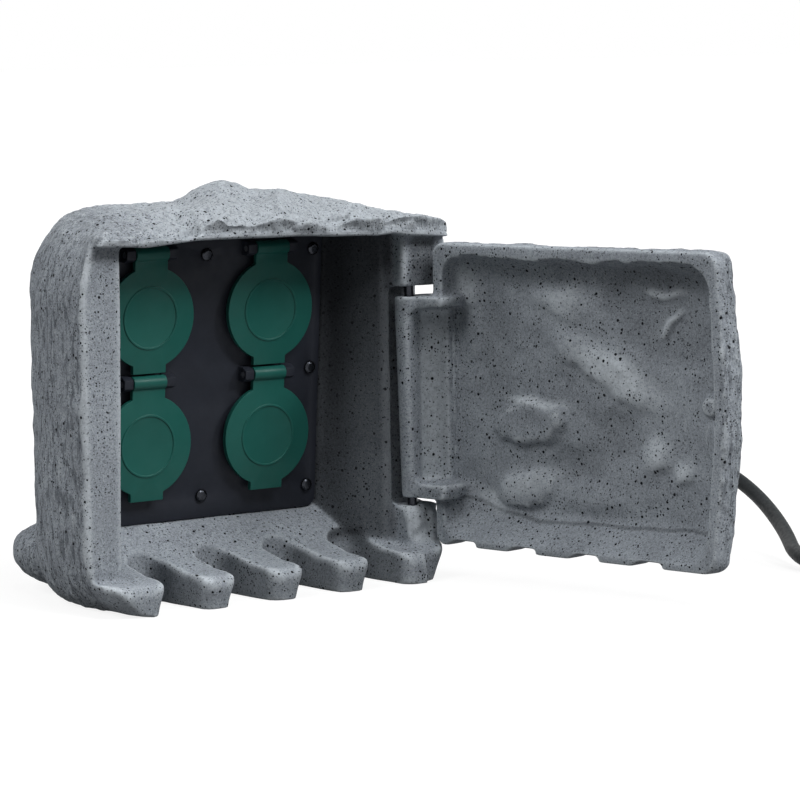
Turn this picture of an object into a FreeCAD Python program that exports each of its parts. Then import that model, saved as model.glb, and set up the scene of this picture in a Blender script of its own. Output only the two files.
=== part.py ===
"""Outdoor socket box of cast stone with four lidded earthed sockets, a swing door and a supply cord.

The frame: X runs to the right along the front, Y runs back, Z is up. The origin is on the floor under the
shell, in line with the middle of the feet. All sizes are in millimetres and degrees.
"""
import FreeCAD, Part
import math
import os

import Sketcher
from FreeCAD import Placement, Rotation, Vector

SIZES = {
    # Shell: distances of its sides from the origin
    "shell_left": 86.0,
    "shell_right": 122.0,
    "shell_rear": 72.0,
    "shell_front": 70.0,
    "shell_top": 194.0,
    "front_round": 14.0,
    "rear_left_round": 100.0,
    "rear_right_round": 40.0,
    "base_tuck": 22.0,
    "base_tuck_rise": 28.0,
    "shoulder_rise": 25.0,
    "far_shoulder_rise": 44.0,
    "shoulder_left": 42.0,
    "shoulder_right": 90.0,
    "shoulder_front": 40.0,
    "shoulder_rear": 60.0,
    "roof_lip": 6.0,
    "roof_front": 56.0,
    "roof_underside": 172.5,
    # Pocket, feet and slots
    "jamb_front": 47.0,
    "pocket_left": 66.0,
    "pocket_right": 94.0,
    "land_set_back": 40.0,
    "land_right": 99.0,
    "toe_front": 66.5,
    "toe_top": 15.6,
    "toe_round": 6.0,
    "toe_corner": 8.5,
    "floor_bend": 23.0,
    "floor_bend_top": 21.6,
    "slot_first": -41.5,
    "slot_pitch": 39.8,
    "slot_width": 19.0,
    "slot_root": 19.0,
    # Hinge blocks
    "block_left": 100.0,
    "lower_block_top": 34.0,
    "upper_block_bottom": 147.0,
    "upper_block_front": 49.0,
    "lower_block_front": 51.0,
    "lower_block_toe": 62.5,
    "block_right": 117.5,
    "block_round": 13.0,
    "rebate_back": 30.0,
    # Carrier plate, tilted forward at its top
    "plate_x": 4.0,
    "plate_y": -13.0,
    "plate_z": 107.0,
    "plate_tilt": 4.7,
    "plate_side_margin": 12.15,
    "plate_end_margin": 17.95,
    "plate_thick": 3.0,
    "plate_corner": 5.0,
    "plate_gap": 0.5,
    "gasket_thick": 1.5,
    "ledge_side": 10.5,
    "ledge_end": 16.0,
    "wiring_space": 17.0,
    "screw_inset_side": 5.5,
    "screw_inset_end": 11.0,
    "screw_radius": 1.75,
    "screw_length": 14.0,
    "screw_head_radius": 3.2,
    "screw_head_thick": 1.8,
    # Sockets and lids
    "socket_spread": 35.25,
    "socket_rise": 31.45,
    "recess_radius": 19.5,
    "recess_depth": 17.5,
    "cup_wall": 2.1,
    "cup_lip": 1.1,
    "insert_depth": 38.0,
    "contact_spread": 9.5,
    "contact_hole_radius": 2.9,
    "sleeve_radius": 3.3,
    "sleeve_bore": 2.45,
    "contact_floor": 2.0,
    "clip_width": 5.0,
    "clip_thick": 0.8,
    "clip_sink": 2.0,
    "clip_tip": 4.5,
    "earth_screw_radius": 1.5,
    "seat_ring_width": 3.0,
    "seat_ring_rise": 2.2,
    "lid_gasket_thick": 0.5,
    "lid_overhang": 1.4,
    "lid_thick": 2.6,
    "lid_ring_radius": 15.5,
    "lid_ring_wide": 1.0,
    "lid_ring_rise": 0.5,
    "lid_tab_width": 18.7,
    "lid_finger_reach": 27.25,
    "barrel_up": 31.0,
    "barrel_out": 3.9,
    "barrel_radius": 3.6,
    "lid_pin_radius": 1.5,
    "post_wide": 5.0,
    "spring_radius": 2.5,
    "spring_long": 8.0,
    # Busbars behind the sockets
    "busbar_thick": 1.2,
    "busbar_wide": 6.0,
    "busbar_apart": 2.0,
    # Door, sized in its shut pose from the hinge axis
    "hinge_x": 107.7,
    "hinge_y": -44.0,
    "door_rest_angle": 99.6,
    "door_rim_plane": 3.3,
    "door_near": 12.5,
    "door_far": 193.0,
    "door_bulge": 6.5,
    "door_lean": 2.5,
    "door_bottom": 17.2,
    "door_sill_gap": 0.45,
    "door_top": 169.0,
    "door_depth": 28.0,
    "door_rim": 6.5,
    "door_sill": 4.0,
    "door_sill_slope": 11.0,
    "door_hollow": 15.0,
    "notch_rise": 2.8,
    "arm_bottom": 40.5,
    "arm_top": 142.0,
    "arm_round": 7.5,
    "arm_round_low": 5.2,
    "arm_reach": 24.0,
    "arm_back": 2.5,
    "arm_front": 23.0,
    "arm_end_round": 10.0,
    "arm_wall": 4.2,
    "door_pin_radius": 2.5,
    "door_pin_grip": 5.6,
    "door_pin_seat": 15.0,
    # Cable gland and cord
    "gland_y": 20.0,
    "gland_z": 48.0,
    "gland_radius": 8.0,
    "gland_wall": 14.0,
    "sheath_inset": 30.0,
    "sheath_reach": 20.0,
    "cord_radius": 3.8,
    "plug_radius": 18.6,
    "plug_pin_radius": 2.4,
    "plug_pin_length": 19.0,
    "core_radius": 1.1,
    "coil_radius": 50.0,
    "tie_thick": 1.0,
    "tie_wide": 12.0,
    # Fits
    "running_fit": 0.05,
    "free_gap": 0.3,
}

# The cups, seat rings and lids follow the recess that takes the plug
for length, inside, wall in (("insert_radius", "recess_radius", "cup_wall"),
                             ("seat_ring_inner", "recess_radius", "cup_lip"),
                             ("seat_ring_outer", "seat_ring_inner", "seat_ring_width"),
                             ("lid_radius", "seat_ring_outer", "lid_overhang")):
    SIZES[length] = SIZES[inside] + SIZES[wall]

# The plate reaches a margin past its four socket cups
for length, spread, margin in (("plate_width", "socket_spread", "plate_side_margin"),
                               ("plate_height", "socket_rise", "plate_end_margin")):
    SIZES[length] = 2 * (SIZES[spread] + SIZES["insert_radius"] + SIZES[margin])

doc = FreeCAD.newDocument("OutdoorSocket")
sheet = doc.addObject("Spreadsheet::Sheet", "Sizes")
for row, (alias, value) in enumerate(SIZES.items(), start=1):
    sheet.set(f"A{row}", alias)
    sheet.set(f"B{row}", str(value))
    sheet.setAlias(f"B{row}", alias)
doc.recompute()

parts = []


def size(alias):
    """Reads one driving size from the sheet."""
    return float(getattr(sheet, alias))


def bound(text):
    """Turns words such as 'lid_radius + 1' into an expression on the sheet's cells."""
    words = text.replace("(", " ( ").replace(")", " ) ").split()
    return " ".join(f"Sizes.{word}" if word in SIZES else word for word in words)


# Helpers for bodies made of sketches and features

def new_body(label):
    """Starts one piece."""
    body = doc.addObject("PartDesign::Body", label)
    body.Label = label
    parts.append(body)
    return body


def new_sketch(body, role, lift=None):
    """Adds a sketch on one of the body's own origin planes, lifted along its normal."""
    sketch = body.newObject("Sketcher::SketchObject", "Profile")
    plane = next(item for item in body.Origin.OriginFeatures if item.Role == role)
    sketch.AttachmentSupport = [(plane, "")]
    sketch.MapMode = "FlatFace"
    if lift:
        sketch.setExpression("AttachmentOffset.Base.z", bound(lift))
    return sketch


def value_of(text):
    """Works out an expression's value, so that a sketch is drawn where it will be solved."""
    names = {alias: size(alias) for alias in SIZES}
    total = 0.0
    sign = 1.0
    for word in text.split():
        if word in ("+", "-"):
            sign = 1.0 if word == "+" else -1.0
            continue
        factor = 1.0
        for piece in word.split("*"):
            factor *= names[piece] if piece in names else float(piece)
        total += sign * factor
        sign = 1.0
    return total


def draw_circle(sketch, across, up, radius):
    """Draws a circle whose centre and radius follow the sheet."""
    centre = Vector(value_of(across), value_of(up), 0)
    item = sketch.addGeometry(Part.Circle(centre, Vector(0, 0, 1), value_of(radius)), False)
    x_index = sketch.addConstraint(Sketcher.Constraint("DistanceX", -1, 1, item, 3, centre.x))
    y_index = sketch.addConstraint(Sketcher.Constraint("DistanceY", -1, 1, item, 3, centre.y))
    r_index = sketch.addConstraint(Sketcher.Constraint("Radius", item, value_of(radius)))
    for index, text in ((x_index, across), (y_index, up), (r_index, radius)):
        sketch.setExpression(f"Constraints[{index}]", bound(text.replace("*", " * ")))


def draw_corners(sketch, corners):
    """Draws a closed polygon whose corners follow the sheet."""
    spots = [Vector(value_of(across), value_of(up), 0) for across, up in corners]
    first = None
    for index, spot in enumerate(spots):
        item = sketch.addGeometry(Part.LineSegment(spot, spots[(index + 1) % len(spots)]), False)
        first = item if first is None else first
    for index in range(len(spots)):
        after = first + (index + 1) % len(spots)
        sketch.addConstraint(Sketcher.Constraint("Coincident", first + index, 2, after, 1))
    for index, (across, up) in enumerate(corners):
        x_index = sketch.addConstraint(
            Sketcher.Constraint("DistanceX", -1, 1, first + index, 1, spots[index].x))
        y_index = sketch.addConstraint(
            Sketcher.Constraint("DistanceY", -1, 1, first + index, 1, spots[index].y))
        sketch.setExpression(f"Constraints[{x_index}]", bound(across.replace("*", " * ")))
        sketch.setExpression(f"Constraints[{y_index}]", bound(up.replace("*", " * ")))


def box_corners(left, right, bottom, top):
    """Gives the four corners of a rectangle."""
    return [(left, bottom), (right, bottom), (right, top), (left, top)]


def add_feature(body, kind, sketch, length, reverse=False):
    """Adds a pad or a pocket of one sketch."""
    feature = body.newObject(f"PartDesign::{kind}", kind)
    feature.Profile = sketch
    feature.setExpression("Length", bound(length))
    feature.Reversed = reverse
    return feature


def add_turned(body, corners):
    """Adds a solid of revolution about the body's Z axis from (radius, height) corners."""
    sketch = new_sketch(body, "XZ_Plane")
    draw_corners(sketch, corners)
    feature = body.newObject("PartDesign::Revolution", "Turned")
    feature.Profile = sketch
    feature.ReferenceAxis = (sketch, ["V_Axis"])
    feature.Angle = 360
    return feature


# Helpers for free forms

def rounded_wire(corners, radii, place):
    """Builds a closed wire of straight runs joined by tangent arcs.

    Each flat corner is turned into a point in space by place.
    """
    count = len(corners)
    flats = [Vector(across, up, 0) for across, up in corners]
    bends = []
    for index, here in enumerate(flats):
        to_before = (flats[index - 1] - here).normalize()
        to_after = (flats[(index + 1) % count] - here).normalize()
        half = to_before.getAngle(to_after) / 2
        reach = radii[index] / math.tan(half)
        bisector = (to_before + to_after).normalize()
        middle = here + bisector * (radii[index] / math.sin(half) - radii[index])
        bends.append((here + to_before * reach, middle, here + to_after * reach))
    edges = []
    for index, (start, middle, end) in enumerate(bends):
        if radii[index] > 0:
            edges.append(Part.Arc(place(start), place(middle), place(end)).toShape())
        after = bends[(index + 1) % count][0]
        edges.append(Part.LineSegment(place(end), place(after)).toShape())
    return Part.Wire(edges)


def prism(corners, radii, place, along):
    """Extrudes a rounded outline."""
    return Part.Face(rounded_wire(corners, radii, place)).extrude(along)


def in_plan(height):
    """Places a flat point on a level plane."""
    return lambda spot: Vector(spot.x, spot.y, height)


def in_side(across):
    """Places a flat point (y, z) on a plane that faces sideways."""
    return lambda spot: Vector(across, spot.x, spot.y)


def block(low, high):
    """A plain box between two corners."""
    return Part.makeBox(*(b - a for a, b in zip(low, high)), Vector(*low))


def boulder(centre, radii):
    """An ellipsoid lump of rock."""
    grow = FreeCAD.Matrix()
    grow.scale(*radii)
    lump = Part.makeSphere(1.0).transformGeometry(grow)
    lump.translate(Vector(*centre))
    return lump


def free_part(label, shape):
    """Adds one piece whose shape is worked out directly."""
    feature = doc.addObject("Part::Feature", label)
    feature.Label = label
    feature.Shape = shape
    parts.append(feature)
    return feature


def plate_seat(across=0.0, up=0.0, out=0.0):
    """Places a piece on the carrier plate: local X across, Y up the plate, Z out of its face."""
    base = Placement(Vector(size("plate_x"), size("plate_y"), size("plate_z")),
                     Rotation(Vector(1, 0, 0), 90 + size("plate_tilt")))
    return base.multiply(Placement(Vector(across, up, out), Rotation()))


def plate_face_y(height):
    """The Y of the plate's front face at one height."""
    return size("plate_y") - (height - size("plate_z")) * math.tan(math.radians(size("plate_tilt")))


def socket_spots():
    """The four socket centres on the plate: upper left, upper right, lower left, lower right."""
    return [(side * size("socket_spread"), level * size("socket_rise"))
            for level in (1, -1) for side in (-1, 1)]


def screw_spots():
    """The eight plate screws, all round the plate's edge."""
    side = size("plate_width") / 2 - size("screw_inset_side")
    end = size("plate_height") / 2 - size("screw_inset_end")
    return [(x * side, y * end) for x in (-1, 0, 1) for y in (-1, 0, 1) if (x, y) != (0, 0)]


# Housing shell

def shoulder_inset(height, rise, width):
    """How far a side has rounded in at one height, given the names of its rise and width."""
    past = height - (size("shell_top") - size(rise))
    lip = size("roof_lip") if width == "shoulder_right" else 0.0
    if past <= 0:
        return -lip * max(0.0, 1 + past / size(rise))
    return size(width) * (1 - math.sqrt(1 - (past / size(rise)) ** 2)) - lip


def rock_body():
    """The outer form: level outlines that tuck in at the base and round over at the shoulders."""
    outlines = []

    def outline(height, left, right, front, rear, shrink):
        corners = [(-size("shell_left") + left, -size("shell_front") + front),
                   (size("shell_right") - right, -size("shell_front") + front),
                   (size("shell_right") - right, size("shell_rear") - rear),
                   (-size("shell_left") + left, size("shell_rear") - rear)]
        radii = [size("front_round"), size("front_round"),
                 size("rear_right_round") * shrink, size("rear_left_round") * shrink]
        outlines.append(rounded_wire(corners, radii, in_plan(height)))

    tuck = size("base_tuck")
    for angle in (0, 20, 40, 60, 75, 90):
        turn = math.radians(angle)
        inward = tuck * (1 - math.sin(turn))
        outline(size("base_tuck_rise") * (1 - math.cos(turn)), inward, inward * 0.3, 0, inward * 0.6,
                1 - 0.3 * inward / tuck)
    shoulder_start = size("shell_top") - size("far_shoulder_rise")
    for share in (0.35, 0.75):
        height = size("base_tuck_rise") + share * (shoulder_start - size("base_tuck_rise"))
        outline(height, 0, shoulder_inset(height, "shoulder_rise", "shoulder_right"), 0, 0, 1.0)
    for angle in (0, 12, 24, 34, 44, 53, 61, 69, 76, 83):
        height = shoulder_start + size("far_shoulder_rise") * math.sin(math.radians(angle))
        rear = shoulder_inset(height, "far_shoulder_rise", "shoulder_rear")
        outline(height,
                shoulder_inset(height, "far_shoulder_rise", "shoulder_left"),
                shoulder_inset(height, "shoulder_rise", "shoulder_right"),
                shoulder_inset(height, "shoulder_rise", "shoulder_front"),
                rear, 1 - 0.75 * rear / size("shoulder_rear"))
    body = Part.makeLoft(outlines, True, True)
    hump = boulder((34, 8, size("shell_top") - 9), (34, 26, 16))
    skirt = boulder((-52, 32, 20), (20, 36, 16))
    rock = body.fuse([hump, skirt])
    ground = block((-300, -300, -60), (300, 300, 0))
    return rock.cut(ground)


def pocket_tool():
    """The open front: a side profile and a plan profile, both run through and crossed."""
    far = 95.0
    foot_z = size("plate_z") - size("plate_height") / 2
    head_z = size("plate_z") + size("plate_height") / 2 + size("plate_gap")
    roof = size("roof_underside")
    sill = size("door_bottom") - size("door_sill_gap")
    side = [(-far, -5), (-size("toe_front"), -5), (-size("toe_front"), size("toe_top")),
            (1.5 - size("jamb_front"), sill),
            (-size("floor_bend"), size("floor_bend_top")), (plate_face_y(foot_z) - 1.5, foot_z - 1.5),
            (plate_face_y(foot_z), foot_z - 1.5), (plate_face_y(head_z), head_z),
            (plate_face_y(head_z) - 3, head_z), (-size("jamb_front") - 3, roof), (-far, roof)]
    side_radii = [0, 0, size("toe_round"), 20, 12, 0, 0, 0, 0, 0, 0]
    lane = prism(side, side_radii, in_side(-130), Vector(300, 0, 0))
    right = size("plate_x") + size("plate_width") / 2 + size("plate_gap")
    left = size("plate_x") - size("plate_width") / 2 - size("plate_gap")
    plan = [(-130, -far), (-130, -size("jamb_front")), (-size("pocket_left"), -size("jamb_front")),
            (left, 10), (right, 10), (right, -6),
            (size("pocket_right"), -size("land_set_back")), (size("block_left"), -size("land_set_back")),
            (size("block_left"), -far)]
    plan_radii = [0, 0, 2.5, 0, 0, 8, 2, 0, 0]
    return lane.common(prism(plan, plan_radii, in_plan(-20), Vector(0, 0, 260)))


def block_tool():
    """What is cut from the right of the pocket, which leaves the two hinge blocks."""
    far = 95.0
    low, top = size("lower_block_top"), size("roof_underside")
    profile = [(-far, -5), (-size("lower_block_toe"), -5), (-size("lower_block_toe"), size("toe_top")),
               (-size("lower_block_front") - 1.5, size("toe_top") + 3),
               (-size("lower_block_front"), low), (-size("upper_block_front"), low),
               (-size("upper_block_front"), top), (-far, top)]
    radii = [0, 0, 5, 2, 1.5, 0, 0, 0]
    front = prism(profile, radii, in_side(size("block_left")), Vector(60, 0, 0))
    corner = block((size("block_left"), -far, -5), (150, -size("slot_root"), low + 2))
    kept = []
    for height, tuck in ((-6, 9), (14, 0), (low + 3, 0)):
        right = size("block_right") - tuck
        outline = [(0, 0), (0, -size("lower_block_toe")), (right, -size("lower_block_toe")),
                   (right + 4, -30), (size("shell_right") + 8 - tuck, 0)]
        kept.append(rounded_wire(outline, [0, 0, size("block_round"), 10, 0], in_plan(height)))
    corner = corner.cut(Part.makeLoft(kept, True, True))
    rebate = block((size("land_right"), -far, low + 3), (150, -size("rebate_back"), size("upper_block_bottom")))
    return front.fuse([rebate, corner])


def slot_tools():
    """The four cable slots between the feet, with round roots and eased mouths."""
    half = size("slot_width") / 2
    root, mouth, far = -size("slot_root"), -size("toe_front"), -95.0
    wide = size("toe_corner")
    outline = [(-half, root), (-half, mouth), (-half - wide - 3, mouth), (-half - wide - 3, far),
               (half + wide + 3, far), (half + wide + 3, mouth), (half, mouth), (half, root)]
    radii = [half - 0.2, wide, 0, 0, 0, 0, wide - 2, half - 0.2]
    tools = []
    for index in range(4):
        tool = prism(outline, radii, in_plan(-5), Vector(0, 0, size("floor_bend_top") + 7.4))
        tool.translate(Vector(size("slot_first") + index * size("slot_pitch"), 0, 0))
        tools.append(tool)
    return tools


def rear_cavity_tools():
    """The seat of the plate, the space behind it, the gland's chamber and the screw holes."""
    half_wide, half_high = size("plate_width") / 2, size("plate_height") / 2
    gap = size("plate_gap")
    ledge_out = -size("plate_thick") - size("gasket_thick")
    seat = block((-half_wide - gap, -half_high - gap, ledge_out), (half_wide + gap, half_high + gap, 2))
    inner_wide, inner_high = half_wide - size("ledge_side"), half_high - size("ledge_end")
    cup_room = block((-inner_wide, -inner_high, -size("insert_depth") - 2), (inner_wide, inner_high, 0))
    room_depth = size("insert_depth") + size("wiring_space")
    wiring_room = block((-inner_wide + 9, -inner_high, -room_depth), (inner_wide, inner_high, 0))
    tools = [seat, cup_room, wiring_room]
    for across, up in screw_spots():
        tools.append(Part.makeCylinder(size("screw_radius") + size("running_fit"), size("screw_length") + 1,
                                       Vector(across, up, 0), Vector(0, 0, -1)))
    for tool in tools:
        tool.Placement = plate_seat().multiply(tool.Placement)
    chamber = block((size("plate_x") + inner_wide - 6, 6, 32),
                    (size("shell_right") - size("gland_wall"), size("plate_y") + room_depth, 74))
    gland_hole = Part.makeCylinder(size("gland_radius") + size("running_fit"), 60,
                                   Vector(size("shell_right") - 40, size("gland_y"), size("gland_z")),
                                   Vector(1, 0, 0))
    return tools + [chamber, gland_hole]


def hinge_bores():
    """The blind bores of the two door pins in the hinge blocks."""
    radius = size("door_pin_radius") + size("running_fit")
    depth = size("door_pin_seat") + size("free_gap")
    spot = Vector(size("hinge_x"), size("hinge_y"), 0)
    upper = Part.makeCylinder(radius, depth, spot + Vector(0, 0, size("upper_block_bottom")))
    lower = Part.makeCylinder(radius, depth + 3, spot + Vector(0, 0, size("lower_block_top") - depth + 3))
    return [upper, lower]


def housing_shell():
    """Cuts the openings out of the rock."""
    shell = rock_body().cut([pocket_tool(), block_tool()])
    fascia = block((-200, -200, size("roof_underside") - 1), (200, -size("roof_front"), 260))
    shell = shell.cut([fascia] + slot_tools())
    shell = shell.cut(rear_cavity_tools())
    shell = shell.cut(hinge_bores())
    return free_part("housing_shell", shell)


# Carrier plate with its sockets

def socket_plate():
    """The near-black plate with four openings, seat rings, hinge posts and screw holes."""
    body = new_body("socket_plate")
    outline = new_sketch(body, "XY_Plane", "0 - plate_thick")
    draw_corners(outline, box_corners("-0.5*plate_width", "0.5*plate_width",
                                      "-0.5*plate_height", "0.5*plate_height"))
    slab = add_feature(body, "Pad", outline, "plate_thick")
    doc.recompute()
    names = [f"Edge{index}" for index, edge in enumerate(body.Shape.Edges, start=1)
             if abs(edge.tangentAt(edge.FirstParameter).z) > 0.99]
    corners = body.newObject("PartDesign::Fillet", "Corners")
    corners.Base = (slab, names)
    corners.setExpression("Radius", bound("plate_corner"))
    doc.recompute()
    rings = new_sketch(body, "XY_Plane")
    for side in ("-1*", "1*"):
        for level in ("-1*", "1*"):
            draw_circle(rings, side + "socket_spread", level + "socket_rise", "seat_ring_outer")
    add_feature(body, "Pad", rings, "seat_ring_rise")
    openings = new_sketch(body, "XY_Plane", "seat_ring_rise")
    for side in ("-1*", "1*"):
        for level in ("-1*", "1*"):
            draw_circle(openings, side + "socket_spread", level + "socket_rise", "seat_ring_inner")
    add_feature(body, "Pocket", openings, "seat_ring_rise + plate_thick")
    for side in ("-1*", "1*"):
        for level in ("-1*", "1*"):
            for start in ("0.5*lid_tab_width + free_gap", "-0.5*lid_tab_width - free_gap - post_wide"):
                post = new_sketch(body, "YZ_Plane", f"{side}socket_spread + {start}".replace("*", " * "))
                low = f"{level}socket_rise + barrel_up - barrel_radius"
                high = f"{level}socket_rise + barrel_up + barrel_radius"
                draw_corners(post, [(low, "-0.5"), (high, "-0.5"), (high, "barrel_out"),
                                    (high + " - 1.6", "barrel_out + 2.8"), (low + " + 1.6", "barrel_out + 2.8"),
                                    (low, "barrel_out")])
                add_feature(body, "Pad", post, "post_wide")
    doc.recompute()
    for level in ("-1*", "1*"):
        bores = new_sketch(body, "YZ_Plane", "-1 * plate_width")
        draw_circle(bores, f"{level}socket_rise + barrel_up", "barrel_out", "lid_pin_radius + running_fit")
        add_feature(body, "Pocket", bores, "2 * plate_width", reverse=True)
    screws = new_sketch(body, "XY_Plane", "1")
    side, end = "0.5*plate_width - screw_inset_side", "0.5*plate_height - screw_inset_end"
    less_side, less_end = "-0.5*plate_width + screw_inset_side", "-0.5*plate_height + screw_inset_end"
    for across, up in ((side, end), (side, "0"), (side, less_end), ("0", end), ("0", less_end),
                       (less_side, end), (less_side, "0"), (less_side, less_end)):
        draw_circle(screws, across, up, "screw_radius + running_fit")
    add_feature(body, "Pocket", screws, "plate_thick + 2")
    body.Placement = plate_seat()
    return body


def plate_gasket():
    """The soft frame between the plate and the ledge."""
    half_wide, half_high = size("plate_width") / 2, size("plate_height") / 2
    inner_wide, inner_high = half_wide - size("ledge_side"), half_high - size("ledge_end")
    frame = block((-half_wide, -half_high, 0), (half_wide, half_high, size("gasket_thick")))
    hole = block((-inner_wide, -inner_high, -1), (inner_wide, inner_high, 3))
    tools = [hole]
    for across, up in screw_spots():
        tools.append(Part.makeCylinder(size("screw_radius") + size("running_fit"), 6, Vector(across, up, -1)))
    gasket = free_part("plate_gasket", frame.cut(tools))
    gasket.Placement = plate_seat(out=-size("plate_thick") - size("gasket_thick"))


def plate_screws():
    """Eight pan-head screws that hold the plate to the ledge."""
    lower_thick = 0.5 * size("screw_head_thick")
    head = Part.makeCylinder(size("screw_head_radius"), lower_thick)
    crown = Part.makeCone(size("screw_head_radius"), size("screw_head_radius") - 1.1,
                          size("screw_head_thick") - lower_thick, Vector(0, 0, lower_thick))
    shank = Part.makeCylinder(size("screw_radius"), size("screw_length"), Vector(0, 0, 0), Vector(0, 0, -1))
    screw = head.fuse([crown, shank])
    copies = []
    for across, up in screw_spots():
        copy = screw.copy()
        copy.translate(Vector(across, up, 0))
        copies.append(copy)
    screws = free_part("plate_screws", Part.makeCompound(copies))
    screws.Placement = plate_seat()


def socket_insert(number, across, up):
    """One earthed socket cup with its contact holes."""
    body = new_body(f"socket_insert_{number}")
    add_turned(body, [("0", "-1*insert_depth"), ("insert_radius", "-1*insert_depth"),
                      ("insert_radius", "-1*plate_thick"), ("seat_ring_inner - free_gap", "-1*plate_thick"),
                      ("seat_ring_inner - free_gap", "0"), ("recess_radius", "0"),
                      ("recess_radius", "-1*recess_depth"), ("0", "-1*recess_depth")])
    doc.recompute()
    entries = new_sketch(body, "XY_Plane", "1 - recess_depth")
    chambers = new_sketch(body, "XY_Plane", "0 - insert_depth")
    for side in ("-1*", "1*"):
        draw_circle(entries, side + "contact_spread", "0", "contact_hole_radius")
        draw_circle(chambers, side + "contact_spread", "0", "sleeve_radius + running_fit")
    add_feature(body, "Pocket", entries, "insert_depth")
    doc.recompute()
    add_feature(body, "Pocket", chambers, "insert_depth - recess_depth - contact_floor", reverse=True)
    screw_hole = new_sketch(body, "XY_Plane", "1 - recess_depth")
    draw_circle(screw_hole, "0", "0", "earth_screw_radius + running_fit")
    add_feature(body, "Pocket", screw_hole, "insert_depth")
    doc.recompute()
    groove = new_sketch(body, "YZ_Plane", "-0.5 * clip_width - 0.5 * free_gap")
    wide, deep, tip = "recess_radius + clip_thick + free_gap", "-1*recess_depth - clip_sink", "clip_tip"
    draw_corners(groove, box_corners("-1*recess_radius - clip_thick - free_gap", wide, deep, "-1*clip_tip + free_gap"))
    add_feature(body, "Pocket", groove, "clip_width + free_gap", reverse=True)
    body.Placement = plate_seat(across, up)


def earth_clip(number, across, up):
    """The two-armed earth spring of one socket: a strap over the cup's floor with an arm up each side."""
    body = new_body(f"earth_clip_{number}")
    side = new_sketch(body, "YZ_Plane", "-0.5 * clip_width")
    out, inside = "recess_radius + clip_thick", "recess_radius"
    low, high, tip = "-1*recess_depth - clip_sink", "-1*recess_depth - clip_sink + clip_thick", "-1*clip_tip"
    draw_corners(side, [("-1*recess_radius - clip_thick", low), (out, low), (out, tip), (inside, tip),
                        (inside, high), ("-1*recess_radius", high), ("-1*recess_radius", tip),
                        ("-1*recess_radius - clip_thick", tip)])
    add_feature(body, "Pad", side, "clip_width")
    doc.recompute()
    hole = new_sketch(body, "XY_Plane", "1 - recess_depth")
    draw_circle(hole, "0", "0", "earth_screw_radius + running_fit")
    add_feature(body, "Pocket", hole, "4")
    body.Placement = plate_seat(across, up)


def earth_screws():
    """One screw in the middle of each cup, which holds the earth clip."""
    copies = []
    for across, up in socket_spots():
        floor = -size("recess_depth") - size("clip_sink") + size("clip_thick")
        head = Part.makeCylinder(2.3, size("clip_sink") - size("clip_thick") - 0.1, Vector(across, up, floor))
        shank = Part.makeCylinder(size("earth_screw_radius"), size("insert_depth") + floor,
                                  Vector(across, up, floor), Vector(0, 0, -1))
        copies.append(head.fuse(shank))
    screws = free_part("earth_screws", Part.makeCompound(copies))
    screws.Placement = plate_seat()


def contact_sleeves():
    """The eight contact tubes for the plug's pins."""
    copies = []
    length = size("insert_depth") - size("recess_depth") - size("contact_floor")
    for across, up in socket_spots():
        for side in (-1, 1):
            spot = Vector(across + side * size("contact_spread"), up, -size("insert_depth"))
            tube = Part.makeCylinder(size("sleeve_radius"), length, spot)
            bore = Part.makeCylinder(size("sleeve_bore"), length + 2, spot - Vector(0, 0, 1))
            copies.append(tube.cut(bore))
    sleeves = free_part("contact_sleeves", Part.makeCompound(copies))
    sleeves.Placement = plate_seat()


def busbar(label, offset, level, link_up):
    """One brass strip: two uprights joined by a link, on a short pillar behind each socket."""
    thick, wide = size("busbar_thick"), size("busbar_wide")
    spread, rise = size("socket_spread"), size("socket_rise")
    behind = -size("insert_depth")
    back = behind - level
    spots = [(side * spread + offset, row * rise) for side in (-1, 1) for row in (-1, 1)]
    pads = [block((x - wide / 2, y - wide / 2, back - thick), (x + wide / 2, y + wide / 2, behind))
            for x, y in spots]
    uprights = [block((side * spread + offset - wide / 2, -rise, back - thick),
                      (side * spread + offset + wide / 2, rise, back)) for side in (-1, 1)]
    link = block((-spread + offset, link_up - wide / 2, back - thick),
                 (spread + offset, link_up + wide / 2, back))
    strip = uprights[0].fuse(uprights[1:] + pads + [link]).removeSplitter()
    bar = free_part(label, strip)
    bar.Placement = plate_seat()
    return bar


# Lids

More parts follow.
